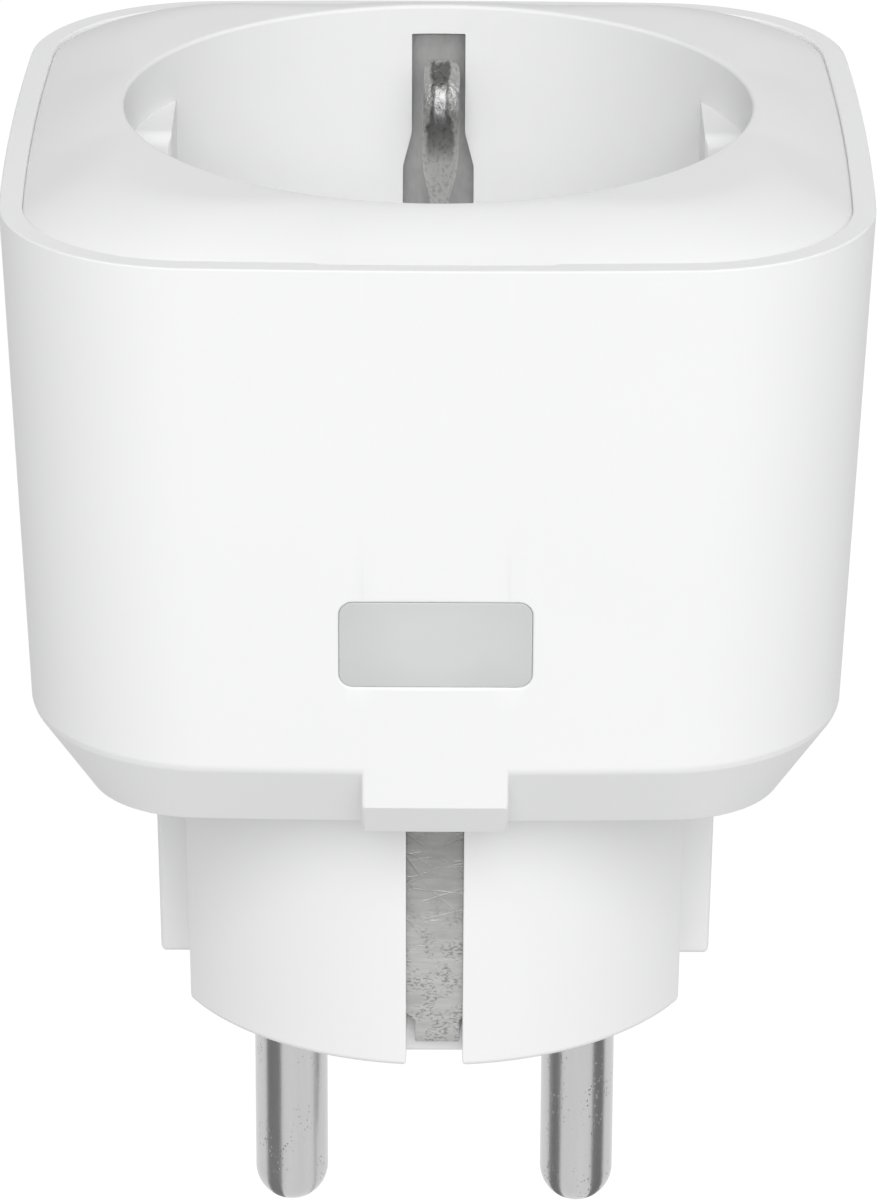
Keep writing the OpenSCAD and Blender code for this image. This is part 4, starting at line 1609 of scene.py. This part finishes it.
def turned_tree(material: bpy.types.Material) -> NodeTree:
    """Build the tree for a turned part: a circle swept along a line of points with radii.

    Args:
        material: The part's material.

    Returns:
        The tree, whose inputs are Sides and Scale.
    """
    tree = NodeTree("turned_part", material)
    tree.add_input("Sides", "NodeSocketInt")
    tree.add_input("Scale", "NodeSocketFloat")
    line = tree.node("GeometryNodeMeshToCurve")
    radius = tree.node("GeometryNodeInputNamedAttribute")
    radius.inputs["Name"].default_value = "turned_radius"
    sized = tree.node("ShaderNodeMath")
    sized.operation = "MULTIPLY"
    circle = tree.node("GeometryNodeCurvePrimitiveCircle")
    circle.inputs["Radius"].default_value = 1.0
    sweep = tree.node("GeometryNodeCurveToMesh")
    sweep.inputs["Fill Caps"].default_value = True
    tree.link(tree.entry.outputs["Points"], line.inputs["Mesh"])
    tree.link(tree.entry.outputs["Sides"], circle.inputs["Resolution"])
    tree.link(radius.outputs[0], sized.inputs[0])
    tree.link(tree.entry.outputs["Scale"], sized.inputs[1])
    tree.link(sized.outputs[0], sweep.inputs["Scale"])
    tree.link(line.outputs[0], sweep.inputs["Curve"])
    tree.link(circle.outputs[0], sweep.inputs["Profile Curve"])
    tree.link(sweep.outputs[0], tree.realize.inputs[0])
    return tree


def scatter_tree(material: bpy.types.Material) -> NodeTree:
    """Build the tree that sets a copy of a part on each point, each turned by chance.

    Args:
        material: The copies' material.

    Returns:
        The tree, whose inputs are Part, Turn and Seed.
    """
    tree = NodeTree("set_on_points", material)
    tree.add_input("Part", "NodeSocketObject")
    tree.add_input("Turn", "NodeSocketFloat")
    tree.add_input("Seed", "NodeSocketInt")
    part = tree.node("GeometryNodeObjectInfo")
    spin = tree.node("FunctionNodeRandomValue")
    spin.data_type = "FLOAT"
    upright = tree.node("ShaderNodeCombineXYZ")
    place = tree.node("GeometryNodeInstanceOnPoints")
    tree.link(tree.entry.outputs["Part"], part.inputs["Object"])
    tree.link(tree.entry.outputs["Turn"], spin.inputs[3])
    tree.link(tree.entry.outputs["Seed"], spin.inputs["Seed"])
    tree.link(spin.outputs[1], upright.inputs["Z"])
    tree.link(tree.entry.outputs["Points"], place.inputs["Points"])
    tree.link(part.outputs["Geometry"], place.inputs["Instance"])
    tree.link(upright.outputs[0], place.inputs["Rotation"])
    tree.link(place.outputs[0], tree.realize.inputs[0])
    return tree


@dataclass
class Pins:
    """The two nickel-plated pins with their round tips."""

    pin_x: float = 9.5
    radius: float = 2.4
    length: float = 19.0
    sides: int = 96
    finish: NickelPlate = NickelPlate("bright_nickel", (0.56, 0.565, 0.56), 0.25)

    def profile(self) -> list[Pair]:
        """Return the radius and height of each ring, from the tip up into the plug."""
        tip = self.radius - self.length
        rings = [(self.radius * math.sin(a), tip - self.radius * math.cos(a)) for a in quarter_turn(20, 1)]
        rings += [(self.radius, z) for z in (-12.0, -8.0, -4.0, -0.4)]
        rings += [(self.radius, -0.02), (self.radius - 0.02, 0.0), (2.2, 0.001), (2.2, 4.999), (1.6, 5.0),
                  (1.6, 8.0), (1.5, 8.1)]
        return rings

    def build(self) -> None:
        """Build both pins with the turned-part tree."""
        material = self.finish.make()
        for side, node in ((1.0, "line_pin"), (-1.0, "neutral_pin")):
            profile = self.profile()
            mesh = bpy.data.meshes.new(node)
            points = [(side * self.pin_x * MM, 0.0, z * MM) for _, z in profile]
            mesh.from_pydata(points, [(i, i + 1) for i in range(len(points) - 1)], [])
            radii = mesh.attributes.new("turned_radius", "FLOAT", "POINT")
            for i, (r, _) in enumerate(profile):
                radii.data[i].value = r
            pin = placed(f"{node}_metal", mesh)
            turned_tree(material).run(pin, {"Sides": self.sides, "Scale": MM})
            tidy_normals(pin)
            soften(pin, 40.0)
            hand_over(pin, "housing", node)


def tidy_normals(piece: bpy.types.Object) -> None:
    """Merge a piece's doubles and turn its faces outward.

    Args:
        piece: The piece.
    """
    work = bmesh.new()
    work.from_mesh(piece.data)
    bmesh.ops.remove_doubles(work, verts=work.verts, dist=1e-7)
    bmesh.ops.recalc_face_normals(work, faces=work.faces)
    work.to_mesh(piece.data)
    work.free()


# ---------------------------------------------------------------- earthing metal


@dataclass
class EarthBracket:
    """The stamped earthing sheet: plug strips with narrow feet, runs, uprights and a strap."""

    half: float = 1.78
    foot_left: float = -1.22
    foot_right: float = 1.58
    foot_z: float = 1.4
    strip_in: float = 16.4
    strip_out: float = 17.2
    run_z: float = 37.0
    sheet: float = 0.8
    upright_y: float = 21.3
    upright_half: float = 3.0
    upright_top: float = 55.7
    strap_half: float = 2.5
    strap_z: float = 30.6
    run_half: float = 1.75
    edge: float = 0.1
    # The strips' tones fall toward the top: painted shade under the housing and tab.
    finish: ScuffedSheet = ScuffedSheet(
        "scuffed_earth_sheet", 0.0014, 0.0154,
        ((0.0, 0.50), (0.32, 0.54), (0.56, 0.50), (0.68, 0.42), (0.9, 0.35), (1.0, 0.28)))
    matt_finish: PlainMetal = PlainMetal("matt_earth_sheet", (0.63, 0.63, 0.627), 0.6, (1.0, 1.0, 0.4))

    def strip(self, way: float) -> bpy.types.Object:
        """Build one plug strip, on the rear for way 1 or the front for -1.

        Args:
            way: 1 for the rear or -1 for the front.

        Returns:
            The strip.
        """
        top = self.run_z + self.sheet
        neck = self.foot_z + 1.5
        corners = [(self.foot_left, self.foot_z, 0.12), (self.foot_right, self.foot_z, 0.12),
                   (self.foot_right, neck, 0.1), (self.half, neck + 0.2, 0.1), (self.half, top, 0.0),
                   (-self.half, top, 0.0), (-self.half, neck + 0.5, 0.12), (self.foot_left, neck, 0.15)]
        return slab("strip", rounded_polygon(corners, 5), lambda u, v, level: (u, way * level, v),
                    self.strip_in, self.strip_out, 0.03)

    def upright(self, way: float) -> bpy.types.Object:
        """Build the plate behind a clip's slot.

        Args:
            way: 1 for the rear or -1 for the front.

        Returns:
            The plate.
        """
        middle = (self.run_z + self.upright_top) / 2.0
        outline = rounded_rectangle(2.0 * self.upright_half, self.upright_top - self.run_z, 0.8, 6)
        return slab("upright", outline, lambda u, v, level: (u, way * level, middle + v),
                    self.upright_y, self.upright_y + self.sheet, self.edge)

    def run(self, way: float) -> bpy.types.Object:
        """Build the flat run from a strip out to its upright.

        Args:
            way: 1 for the rear or -1 for the front.

        Returns:
            The run.
        """
        near, far = self.strip_in + 0.02, self.upright_y + 0.4
        outline = [(-self.run_half, near), (self.run_half, near), (self.run_half, far), (-self.run_half, far)]
        return slab("run", outline, lambda u, v, level: (u, way * v, level), self.run_z + 0.01,
                    self.run_z + self.sheet - 0.01, 0.05)

    def build(self) -> bpy.types.Object:
        """Build the finished bracket.

        Returns:
            The bracket, on the housing body.
        """
        outline = rounded_rectangle(2.0 * self.strap_half, 2.0 * self.strip_in + 0.2, 0.1, 2)
        strap = slab("earth_bracket_sheet", outline, lambda u, v, level: (u, v, level), self.strap_z,
                     self.strap_z + self.sheet, 0.06)
        combine(strap, Join.ADD, *(make(way) for way in (-1.0, 1.0) for make in (self.strip, self.run)))
        soften(strap)
        rear, front = self.upright(1.0), self.upright(-1.0)
        combine(rear, Join.ADD, front)
        rear.name = "earth_bracket_uprights"
        soften(rear)
        finished(rear, "housing", "earth_bracket", self.matt_finish)
        return finished(strap, "housing", "earth_bracket", self.finish)


@dataclass
class EarthClip:
    """A sprung earth clip: a blade with three long faces, rolled at its root."""

    way: float
    node: str
    body: str
    lean: float
    half: float = 1.175
    neck_half: float = 0.6
    root_half: float = 1.6
    flat_half: float = 0.52
    bevel_depth: float = 0.26
    thickness: float = 0.32
    root_y: float = 20.6
    root_z: float = 38.5
    root_r: float = 0.6
    rise: tuple[Pair, ...] = ((20.25, 38.8), (19.4, 41.6), (18.4, 44.8))
    knee: tuple[Pair, Pair, Pair] = ((17.3, 47.8), (15.95, 50.9), (16.9, 53.0))
    fold: tuple[Pair, ...] = ((17.25, 53.45), (18.35, 54.4), (18.75, 54.68))

    def path(self) -> list[Pair]:
        """Return the blade's middle line as (y, z), from the root to the tip."""
        return [*self.rise, *bezier(*self.knee, 16), *self.fold]

    def half_at(self, z: float) -> float:
        """Return the blade's half width at a height.

        Args:
            z: The height.
        """
        stops = [(38.0, self.root_half), (40.7, self.root_half), (43.0, self.neck_half),
                 (44.6, self.neck_half), (45.7, 0.72), (46.3, 0.88), (47.2, 1.06), (48.6, self.half),
                 (54.3, self.half), (54.68, self.half - 0.24)]
        for (z0, h0), (z1, h1) in zip(stops, stops[1:]):
            if z <= z1:
                return mix(h0, h1, min(max((z - z0) / (z1 - z0), 0.0), 1.0))
        return stops[-1][1]

    def section(self, half: float) -> list[Pair]:
        """Return the cross-section as (x, depth), depth away from the socket's middle.

        Args:
            half: The half width there.
        """
        flat, depth = min(self.flat_half, half * 0.5), self.bevel_depth
        front = [(flat - 0.04, 0.0), (flat + 0.04, 0.012), (half - 0.08, depth - 0.07), (half, depth)]
        back = [(half, depth + 0.14), (half - 0.08, depth + 0.2), (flat, self.thickness)]
        return ([(-x, d) for x, d in reversed(front)] + front + back + [(-x, d) for x, d in reversed(back)])

    def dense_path(self) -> list[Pair]:
        """Return the middle line with extra points on its straight runs."""
        points = self.path()
        dense: list[Pair] = []
        for a, b in zip(points, points[1:]):
            steps = max(1, round(math.dist(a, b) / 0.5))
            dense += [(mix(a[0], b[0], i / steps), mix(a[1], b[1], i / steps)) for i in range(steps)]
        return [*dense, points[-1]]

    def build(self, material: bpy.types.Material) -> bpy.types.Object:
        """Build the finished clip.

        Args:
            material: The clips' shared material.

        Returns:
            The clip, on its own body.
        """
        path = self.dense_path()
        rings = []
        for i, (y, z) in enumerate(path):
            before, after = path[max(i - 1, 0)], path[min(i + 1, len(path) - 1)]
            along = Vector((after[0] - before[0], after[1] - before[1])).normalized()
            out_y, out_z = along.y, -along.x
            shift = self.lean * (z - self.root_z) / 16.0
            start = -self.thickness / 2.0
            rings.append([(x + shift, self.way * (y + out_y * (d + start)), z + out_z * (d + start))
                          for x, d in self.section(self.half_at(z))])
        solid = Solid()
        solid.loft(rings)
        circle = [(self.root_r * math.cos(a), self.root_r * math.sin(a)) for a in full_turn(32)]
        blade = solid.build(f"{self.node}_blade")
        roll = slab("roll", circle,
                    lambda u, v, level: (level, self.way * (self.root_y + u), self.root_z + v),
                    -self.root_half, self.root_half, 0.1)
        combine(blade, Join.ADD, roll)
        soften(blade, 16.0)
        dress(blade, material)
        return hand_over(blade, self.body, self.node)


# ---------------------------------------------------------------- button and screws


@dataclass
class StatusButton:
    """The frosted light-guide cap in the front window, with its flange and stem."""

    housing: Housing
    gap: float = 0.014
    sink: float = 0.05
    edge: float = 0.07
    flange: tuple[float, float, float] = (13.6, 7.6, 1.0)
    flange_front: float = -23.4
    flange_back: float = -22.65
    stem_r: float = 1.0
    stem_end: float = -21.95
    # The lens colours hold painted light in the middle and painted shade at the rim.
    finish: FrostedLens = FrostedLens("frosted_button_lens", (0.615, 0.632, 0.630), (0.535, 0.548, 0.546),
                                      (0.0003, -0.0255, 0.0326), (0.0088, 0.02, 0.0056))

    def ring(self, width: float, height: float, radius: float, y: float | None,
             drop: float = 0.0) -> Ring:
        """Return a ring across the button.

        Args:
            width: The ring's width.
            height: Its height.
            radius: Its corner radius.
            y: Its depth, or None to follow the front wall.
            drop: How far it lies behind the face where it follows the wall.

        Returns:
            The points.
        """
        middle = self.housing.window_z
        points = []
        for u, v in rounded_rectangle(width, height, radius, 8):
            depth = self.housing.wall_y(u, middle + v) + self.sink + drop if y is None else y
            points.append(Vector((u, depth, middle + v)))
        return points

    def build(self) -> bpy.types.Object:
        """Build the finished button.

        Returns:
            The button, on its own body.
        """
        width = self.housing.window_width - 2.0 * self.gap
        height = self.housing.window_height - 2.0 * self.gap
        corner = self.housing.window_corner - self.gap
        bevel, edge = 0.1, self.edge
        stem = (2.0 * self.stem_r, 2.0 * self.stem_r, self.stem_r)
        stem_end = tuple(size - bevel * share for size, share in zip(stem, (2.0, 2.0, 1.0)))
        flange_end = tuple(size - bevel * share for size, share in zip(self.flange, (2.0, 2.0, 1.0)))
        rings = [self.ring(*stem_end, self.stem_end), self.ring(*stem, self.stem_end - bevel),
                 self.ring(*stem, self.flange_back), self.ring(*flange_end, self.flange_back),
                 self.ring(*self.flange, self.flange_back - bevel),
                 self.ring(*self.flange, self.flange_front + bevel),
                 self.ring(*flange_end, self.flange_front),
                 self.ring(width, height, corner, self.flange_front)]
        for angle in quarter_turn(6):
            drawn = edge * (1.0 - math.cos(angle))
            rings.append(self.ring(width - 2.0 * drawn, height - 2.0 * drawn, max(corner - drawn, 0.1), None,
                                   edge * (1.0 - math.sin(angle))))
        for share in (0.9, 0.7, 0.45, 0.2, 0.04):
            rings.append(self.ring((width - 2.0 * edge) * share, (height - 2.0 * edge) * share,
                                   (corner - edge) * share, None, -0.03 * (1.0 - share)))
        solid = Solid()
        solid.loft(rings)
        button = solid.build("status_button_cap")
        soften(button)
        return finished(button, "button", "status_button", self.finish)


@dataclass
class Screws:
    """Pan-head screws with cross recesses, set on their axes by one geometry tree."""

    places: Sequence[Sequence[float]]
    node: str
    head_r: float
    head_h: float
    shank_r: float
    length: float
    seed: int

    def part(self) -> bpy.types.Object:
        """Build one screw, head down, with the head's underside at the origin.

        Returns:
            The screw.
        """
        h, root_r, crown_r = self.head_h, self.shank_r * 0.84, self.head_r * 0.55
        profile = [(crown_r, -h)]
        profile += [(mix(crown_r, self.head_r, math.sin(a)), -h + 0.5 * h * (1.0 - math.cos(a)))
                    for a in quarter_turn(6, 1)]
        profile += [(self.head_r, -0.06), (self.head_r - 0.06, 0.0), (root_r, 0.001)]
        pitch = self.shank_r * 0.8
        z = pitch * 0.4
        while z < self.length - pitch:
            profile += [(root_r, z), (self.shank_r, z + pitch * 0.25), (root_r, z + pitch * 0.5)]
            z += pitch
        profile += [(self.shank_r * 0.5, self.length - 0.2), (self.shank_r * 0.3, self.length)]
        screw = disc_stack("screw_part", (0.0, 0.0, 0.0), profile, 40)
        arm = self.head_r * 0.58
        bars = []
        for turn in (0.0, math.pi / 2.0):
            c, s = math.cos(turn), math.sin(turn)
            outline = rounded_rectangle(2.0 * arm, 0.27 * self.head_r, 0.1, 3)
            solid = Solid()
            solid.loft([[(c * u * k - s * v * k, s * u * k + c * v * k, z) for u, v in outline]
                        for k, z in ((1.05, -h - 1.0), (1.05, -h - 0.01), (0.55, -h * 0.4))])
            bars.append(solid.build("recess_bar"))
        return combine(screw, Join.CUT, *bars)

    def build(self, material: bpy.types.Material) -> bpy.types.Object:
        """Set a screw on every place and keep the plain mesh.

        Args:
            material: The screws' shared material.

        Returns:
            The screws, on the housing body.
        """
        part = self.part()
        mesh = bpy.data.meshes.new(self.node)
        mesh.from_pydata([Vector(p) * MM for p in self.places], [], [])
        screws = placed(f"{self.node}_set", mesh)
        scatter_tree(material).run(screws, {"Part": part, "Turn": math.pi / 2.0, "Seed": self.seed})
        bpy.data.objects.remove(part)
        soften(screws, 35.0)
        return hand_over(screws, "housing", self.node)


# ---------------------------------------------------------------- sealed parts


@dataclass
class Inside:
    """Finishes for the sealed parts, which keep their CAD shapes."""

    board: Finish = CircuitBoard("green_circuit_board", (0.018, 0.10, 0.045), (0.045, 0.19, 0.08))
    bronze: Finish = PlainMetal("contact_bronze_strip", (0.78, 0.56, 0.36), 0.28)
    copper: Finish = PlainMetal("copper_bar_stock", (0.83, 0.46, 0.32), 0.3)
    spring: Finish = PlainMetal("spring_wire_steel", (0.58, 0.58, 0.59), 0.25)
    shunt: Finish = PlainMetal("shunt_alloy_strip", (0.66, 0.55, 0.44), 0.35)
    tin: Finish = PlainMetal("tinned_screen_can", (0.72, 0.72, 0.71), 0.22, (1.0, 0.1, 1.0))
    gold: Finish = PlainMetal("gold_trace_metal", (0.95, 0.72, 0.32), 0.24)
    ivory: Finish = MouldedPlastic("ivory_shutter_plastic", (0.72, 0.69, 0.58), 0.4)
    cover: Finish = MouldedPlastic("white_cover_plastic", (0.78, 0.78, 0.77), 0.45)
    black: Finish = MouldedPlastic("black_part_plastic", (0.022, 0.022, 0.023), 0.45)
    brown: Finish = MouldedPlastic("brown_plunger_plastic", (0.16, 0.07, 0.03), 0.4)
    relay: Finish = MouldedPlastic("relay_case_plastic", (0.02, 0.09, 0.36), 0.36)
    film: Finish = MouldedPlastic("film_capacitor_plastic", (0.70, 0.52, 0.09), 0.38)
    varistor: Finish = MouldedPlastic("varistor_dip_coat", (0.03, 0.12, 0.42), 0.3)
    can: Finish = SleevedCan("sleeved_capacitor_can", (0.02, 0.021, 0.024), (0.5, 0.5, 0.5), 0.0340)
    coil: Finish = WoundCore("wound_drum_core", (0.62, 0.27, 0.10), (0.035, 0.033, 0.032), 0.02665, 0.03155)
    fuse: Finish = BandedResistor("banded_fuse_body", (0.10, 0.26, 0.14))
    rectifier: Finish = LeadedChip("rectifier_package", 0.0090, 0.00201)
    supply: Finish = LeadedChip("supply_chip_package", 0.0090, 0.00196)
    metering: Finish = LeadedChip("metering_chip_package", -0.0066, 0.00196)
    # The lamp lens is painted lighter in its middle, a painted glow, and darker at its rim.
    lamp: Finish = FrostedLens("status_lamp_lens", (0.80, 0.78, 0.55), (0.66, 0.62, 0.40),
                               (0.0, -0.0206, 0.0323), (0.006, 0.002, 0.002))

    def build(self) -> None:
        """Give every carried-over node its finish."""
        choice: dict[str, Finish] = {
            "line_contact": self.bronze, "neutral_contact": self.bronze, "line_bar": self.copper,
            "neutral_bar": self.copper, "relay_bar": self.copper, "shutter_spring": self.spring,
            "current_shunt": self.shunt, "radio_module": self.tin, "antenna": self.gold,
            "shutter_rotor": self.ivory, "shutter_cover": self.cover, "tact_switch": self.black,
            "light_shroud": self.black, "board_header": self.black, "tact_plunger": self.brown,
            "relay": self.relay, "line_capacitor": self.film, "varistor": self.varistor,
            "bulk_capacitors": self.can, "power_inductor": self.coil, "fuse_resistor": self.fuse,
            "rectifier": self.rectifier, "supply_chip": self.supply, "metering_chip": self.metering,
            "power_board": self.board, "control_board": self.board, "status_leds": self.lamp}
        made: dict[str, bpy.types.Material] = {}
        for node, finish in choice.items():
            if finish.name not in made:
                made[finish.name] = finish.make()
            dress(frame["nodes"][node], made[finish.name])
            LOG.info("%s: keeps its shape, finished as %s", node, finish.name)


# ---------------------------------------------------------------- studio


@dataclass
class Studio:
    """Camera, pale floor, soft lights and the flags that the pins mirror."""

    pitch: float = 22.288
    yaw: float = 0.056
    roll: float = 0.231
    distance: float = 374.35
    aim_z: float = 30.0
    lens: float = 175.52
    shift: Pair = (0.0016, -0.0675)
    floor_z: float = -19.0
    floor_seen: float = 1.02
    floor_cast: float = 0.6
    world_glow: float = 0.54
    lamp_reach: float = 1.26
    lamp_size: float = 0.9
    cards: tuple[tuple[float, float, float, float], ...] = (
        (-9.5, -67.0, -25.0, 0.27), (-9.5, 61.0, 70.0, 0.65),
        (9.5, -80.0, -43.0, 0.24), (9.5, 39.0, 76.0, 0.25))
    lamps: tuple[tuple[str, float, float, float], ...] = (
        ("front_soft_light", 0.0, 35.0, 9.6), ("right_soft_light", 35.0, 30.0, 2.0))

    def camera(self) -> None:
        """Set the camera at the fitted place and view."""
        e, y, r = (math.radians(a) for a in (self.pitch, self.yaw, self.roll))
        back = Vector((math.sin(y) * math.cos(e), -math.cos(y) * math.cos(e), math.sin(e)))
        right = (-back).cross(Vector((0.0, 0.0, 1.0))).normalized()
        up = right.cross(-back)
        across = right * math.cos(r) + up * math.sin(r)
        above = up * math.cos(r) - right * math.sin(r)
        data = bpy.data.cameras.new("camera")
        data.lens = self.lens
        data.sensor_width = 36.0
        data.shift_x, data.shift_y = self.shift
        data.clip_start, data.clip_end = 0.01, 20.0
        camera = placed("camera", data)
        place = Matrix((across, above, back)).transposed().to_4x4()
        place.translation = (Vector((0.0, 0.0, self.aim_z)) + back * self.distance) * MM
        camera.matrix_world = place
        bpy.context.scene.camera = camera

    def emitter(self, name: str, strength: float, one_sided: bool = False) -> bpy.types.Material:
        """Make a plain white glowing material.

        Args:
            name: The material's name.
            strength: How strongly it glows.
            one_sided: True where its back is to be clear.

        Returns:
            The material.
        """
        material = bpy.data.materials.new(name)
        material.use_nodes = True
        tree = material.node_tree
        tree.nodes.clear()
        glow = tree.nodes.new("ShaderNodeEmission")
        glow.inputs["Color"].default_value = (1.0, 1.0, 1.0, 1.0)
        glow.inputs["Strength"].default_value = strength
        output = tree.nodes.new("ShaderNodeOutputMaterial")
        tree.links.new(glow.outputs[0], output.inputs["Surface"])
        if one_sided:
            clear = tree.nodes.new("ShaderNodeBsdfTransparent")
            side = tree.nodes.new("ShaderNodeNewGeometry")
            either = tree.nodes.new("ShaderNodeMixShader")
            tree.links.new(side.outputs["Backfacing"], either.inputs[0])
            tree.links.new(glow.outputs[0], either.inputs[1])
            tree.links.new(clear.outputs[0], either.inputs[2])
            tree.links.new(either.outputs[0], output.inputs["Surface"])
        return material

    def prop(self, name: str, points: Sequence[Sequence[float]], faces: Sequence[Sequence[int]],
             cloth: bpy.types.Material) -> bpy.types.Object:
        """Make a stage thing, which isn't part of the object.

        Args:
            name: The thing's name.
            points: Its points, in metres.
            faces: Its faces.
            cloth: Its material.

        Returns:
            The thing.
        """
        mesh = bpy.data.meshes.new(name)
        mesh.from_pydata(points, [], faces)
        thing = placed(name, mesh)
        dress(thing, cloth)
        return thing

    def floor(self, name: str, z: float, glow: float) -> bpy.types.Object:
        """Lay a pale glowing sheet under the pins, at a height in millimetres."""
        reach = 4.0
        corners = [(x, y, z * MM)
                   for x, y in ((-reach, -reach), (reach, -reach), (reach, reach), (-reach, reach))]
        return self.prop(name, corners, [(0, 1, 2, 3)], self.emitter(f"{name}_sheet", glow))

    def card(self, name: str, centre_x: float, start: float, end: float, level: float) -> None:
        """Stand a curved dark card beside a pin, seen only in polished metal and only from inside.

        Args:
            name: The card's name.
            centre_x: The pin's middle, in millimetres.
            start: The bearing of its first edge from straight in front, in degrees.
            end: The bearing of its last edge.
            level: How bright it is.
        """
        near, radius, bottom, top = 0.5, 5.5, self.floor_z + 0.01, 6.0
        steps = 12
        points = []
        for i in range(steps + 1):
            bearing = math.radians(mix(start, end, i / steps))
            for r, z in ((near, bottom), (radius, bottom), (radius, top)):
                points.append(((centre_x + r * math.sin(bearing)) * MM, -r * math.cos(bearing) * MM, z * MM))
        faces = [(n, n + 1, n + 4, n + 3) for i in range(steps) for n in (3 * i, 3 * i + 1)]
        card = self.prop(name, points, faces, self.emitter(f"{name}_cloth", level, True))
        card.visible_camera = False
        card.visible_diffuse = False
        card.visible_shadow = False

    def light(self, name: str, bearing: float, rise: float, power: float) -> None:
        """Hang a square soft light that faces the piece.

        Args:
            name: The light's name.
            bearing: Its direction from straight in front, to the right, in degrees.
            rise: Its direction above the level, in degrees.
            power: Its power, in watts.
        """
        a, e = math.radians(bearing), math.radians(rise)
        aim = Vector((0.0, 0.0, self.aim_z * MM))
        away = Vector((math.sin(a) * math.cos(e), -math.cos(a) * math.cos(e), math.sin(e)))
        data = bpy.data.lights.new(name, "AREA")
        data.size = self.lamp_size
        data.energy = power
        turn = (-away).to_track_quat("-Z", "Y").to_matrix().to_4x4()
        placed(name, data).matrix_world = Matrix.Translation(aim + away * self.lamp_reach) @ turn

    def build(self) -> None:
        """Build the camera, the floor and the lights."""
        scene = bpy.context.scene
        scene.view_settings.view_transform = "Standard"
        world = bpy.data.worlds.new("studio_air")
        world.use_nodes = True
        air = world.node_tree.nodes["Background"]
        air.inputs["Color"].default_value = (1.0, 1.0, 1.0, 1.0)
        air.inputs["Strength"].default_value = self.world_glow
        scene.world = world
        self.camera()
        seen = self.floor("pale_floor", self.floor_z, self.floor_seen)
        seen.visible_diffuse = False
        cast = self.floor("floor_bounce", self.floor_z - 0.5, self.floor_cast)
        cast.visible_camera = False
        cast.visible_glossy = False
        for i, (centre_x, start, end, level) in enumerate(self.cards):
            self.card(f"dark_card_{i + 1}", centre_x, start, end, level)
        for lamp in self.lamps:
            self.light(*lamp)
        LOG.info("studio: camera, floor, %d cards and %d lights are set", len(self.cards), len(self.lamps))


def main() -> None:
    """Build every piece in order, then the studio."""
    logging.basicConfig(level=logging.INFO, format="%(name)s: %(message)s")
    housing = Housing()
    housing.build()
    TopInsert(housing).build()
    Plug().build()
    Pins().build()
    EarthBracket().build()
    # The clip's tones are painted reflections, with a painted highlight on the knee.
    clip_steel = PaintedReflectionBlade(
        "clip_steel_painted_reflections", 0.044, 0.055, 0.00062, 0.00036, 0.4,
        ((0.0, 0.58), (0.38, 0.54), (0.5, 0.27), (0.62, 0.19), (0.7, 0.13), (0.84, 0.13), (0.9, 0.17),
         (0.962, 0.2), (0.97, 0.5)),
        ((0.0, 0.58), (0.42, 0.56), (0.6, 0.48), (0.7, 0.37), (0.8, 0.33), (0.88, 0.52), (1.0, 0.6))).make()
    EarthClip(1.0, "earth_clip_rear", "rear_earth_clip", 0.22).build(clip_steel)
    EarthClip(-1.0, "earth_clip_front", "front_earth_clip", 0.0).build(clip_steel)
    StatusButton(housing).build()
    screw_steel = PlainMetal("zinc_screw_steel", (0.66, 0.66, 0.67), 0.3, (1.0, 1.0, 1.0)).make()
    seats = [(x, y, 21.2) for x, y, _ in housing.screw_places()]
    Screws(seats, "housing_screws", 2.2, 1.6, 1.2, 9.0, 7).build(screw_steel)
    Screws([(0.0, -11.0, 34.3), (0.0, 11.0, 34.3)], "cover_screws", 1.6, 1.1, 0.75, 3.4, 3).build(screw_steel)
    Inside().build()
    Studio().build()


if __name__ == "__main__":
    main()
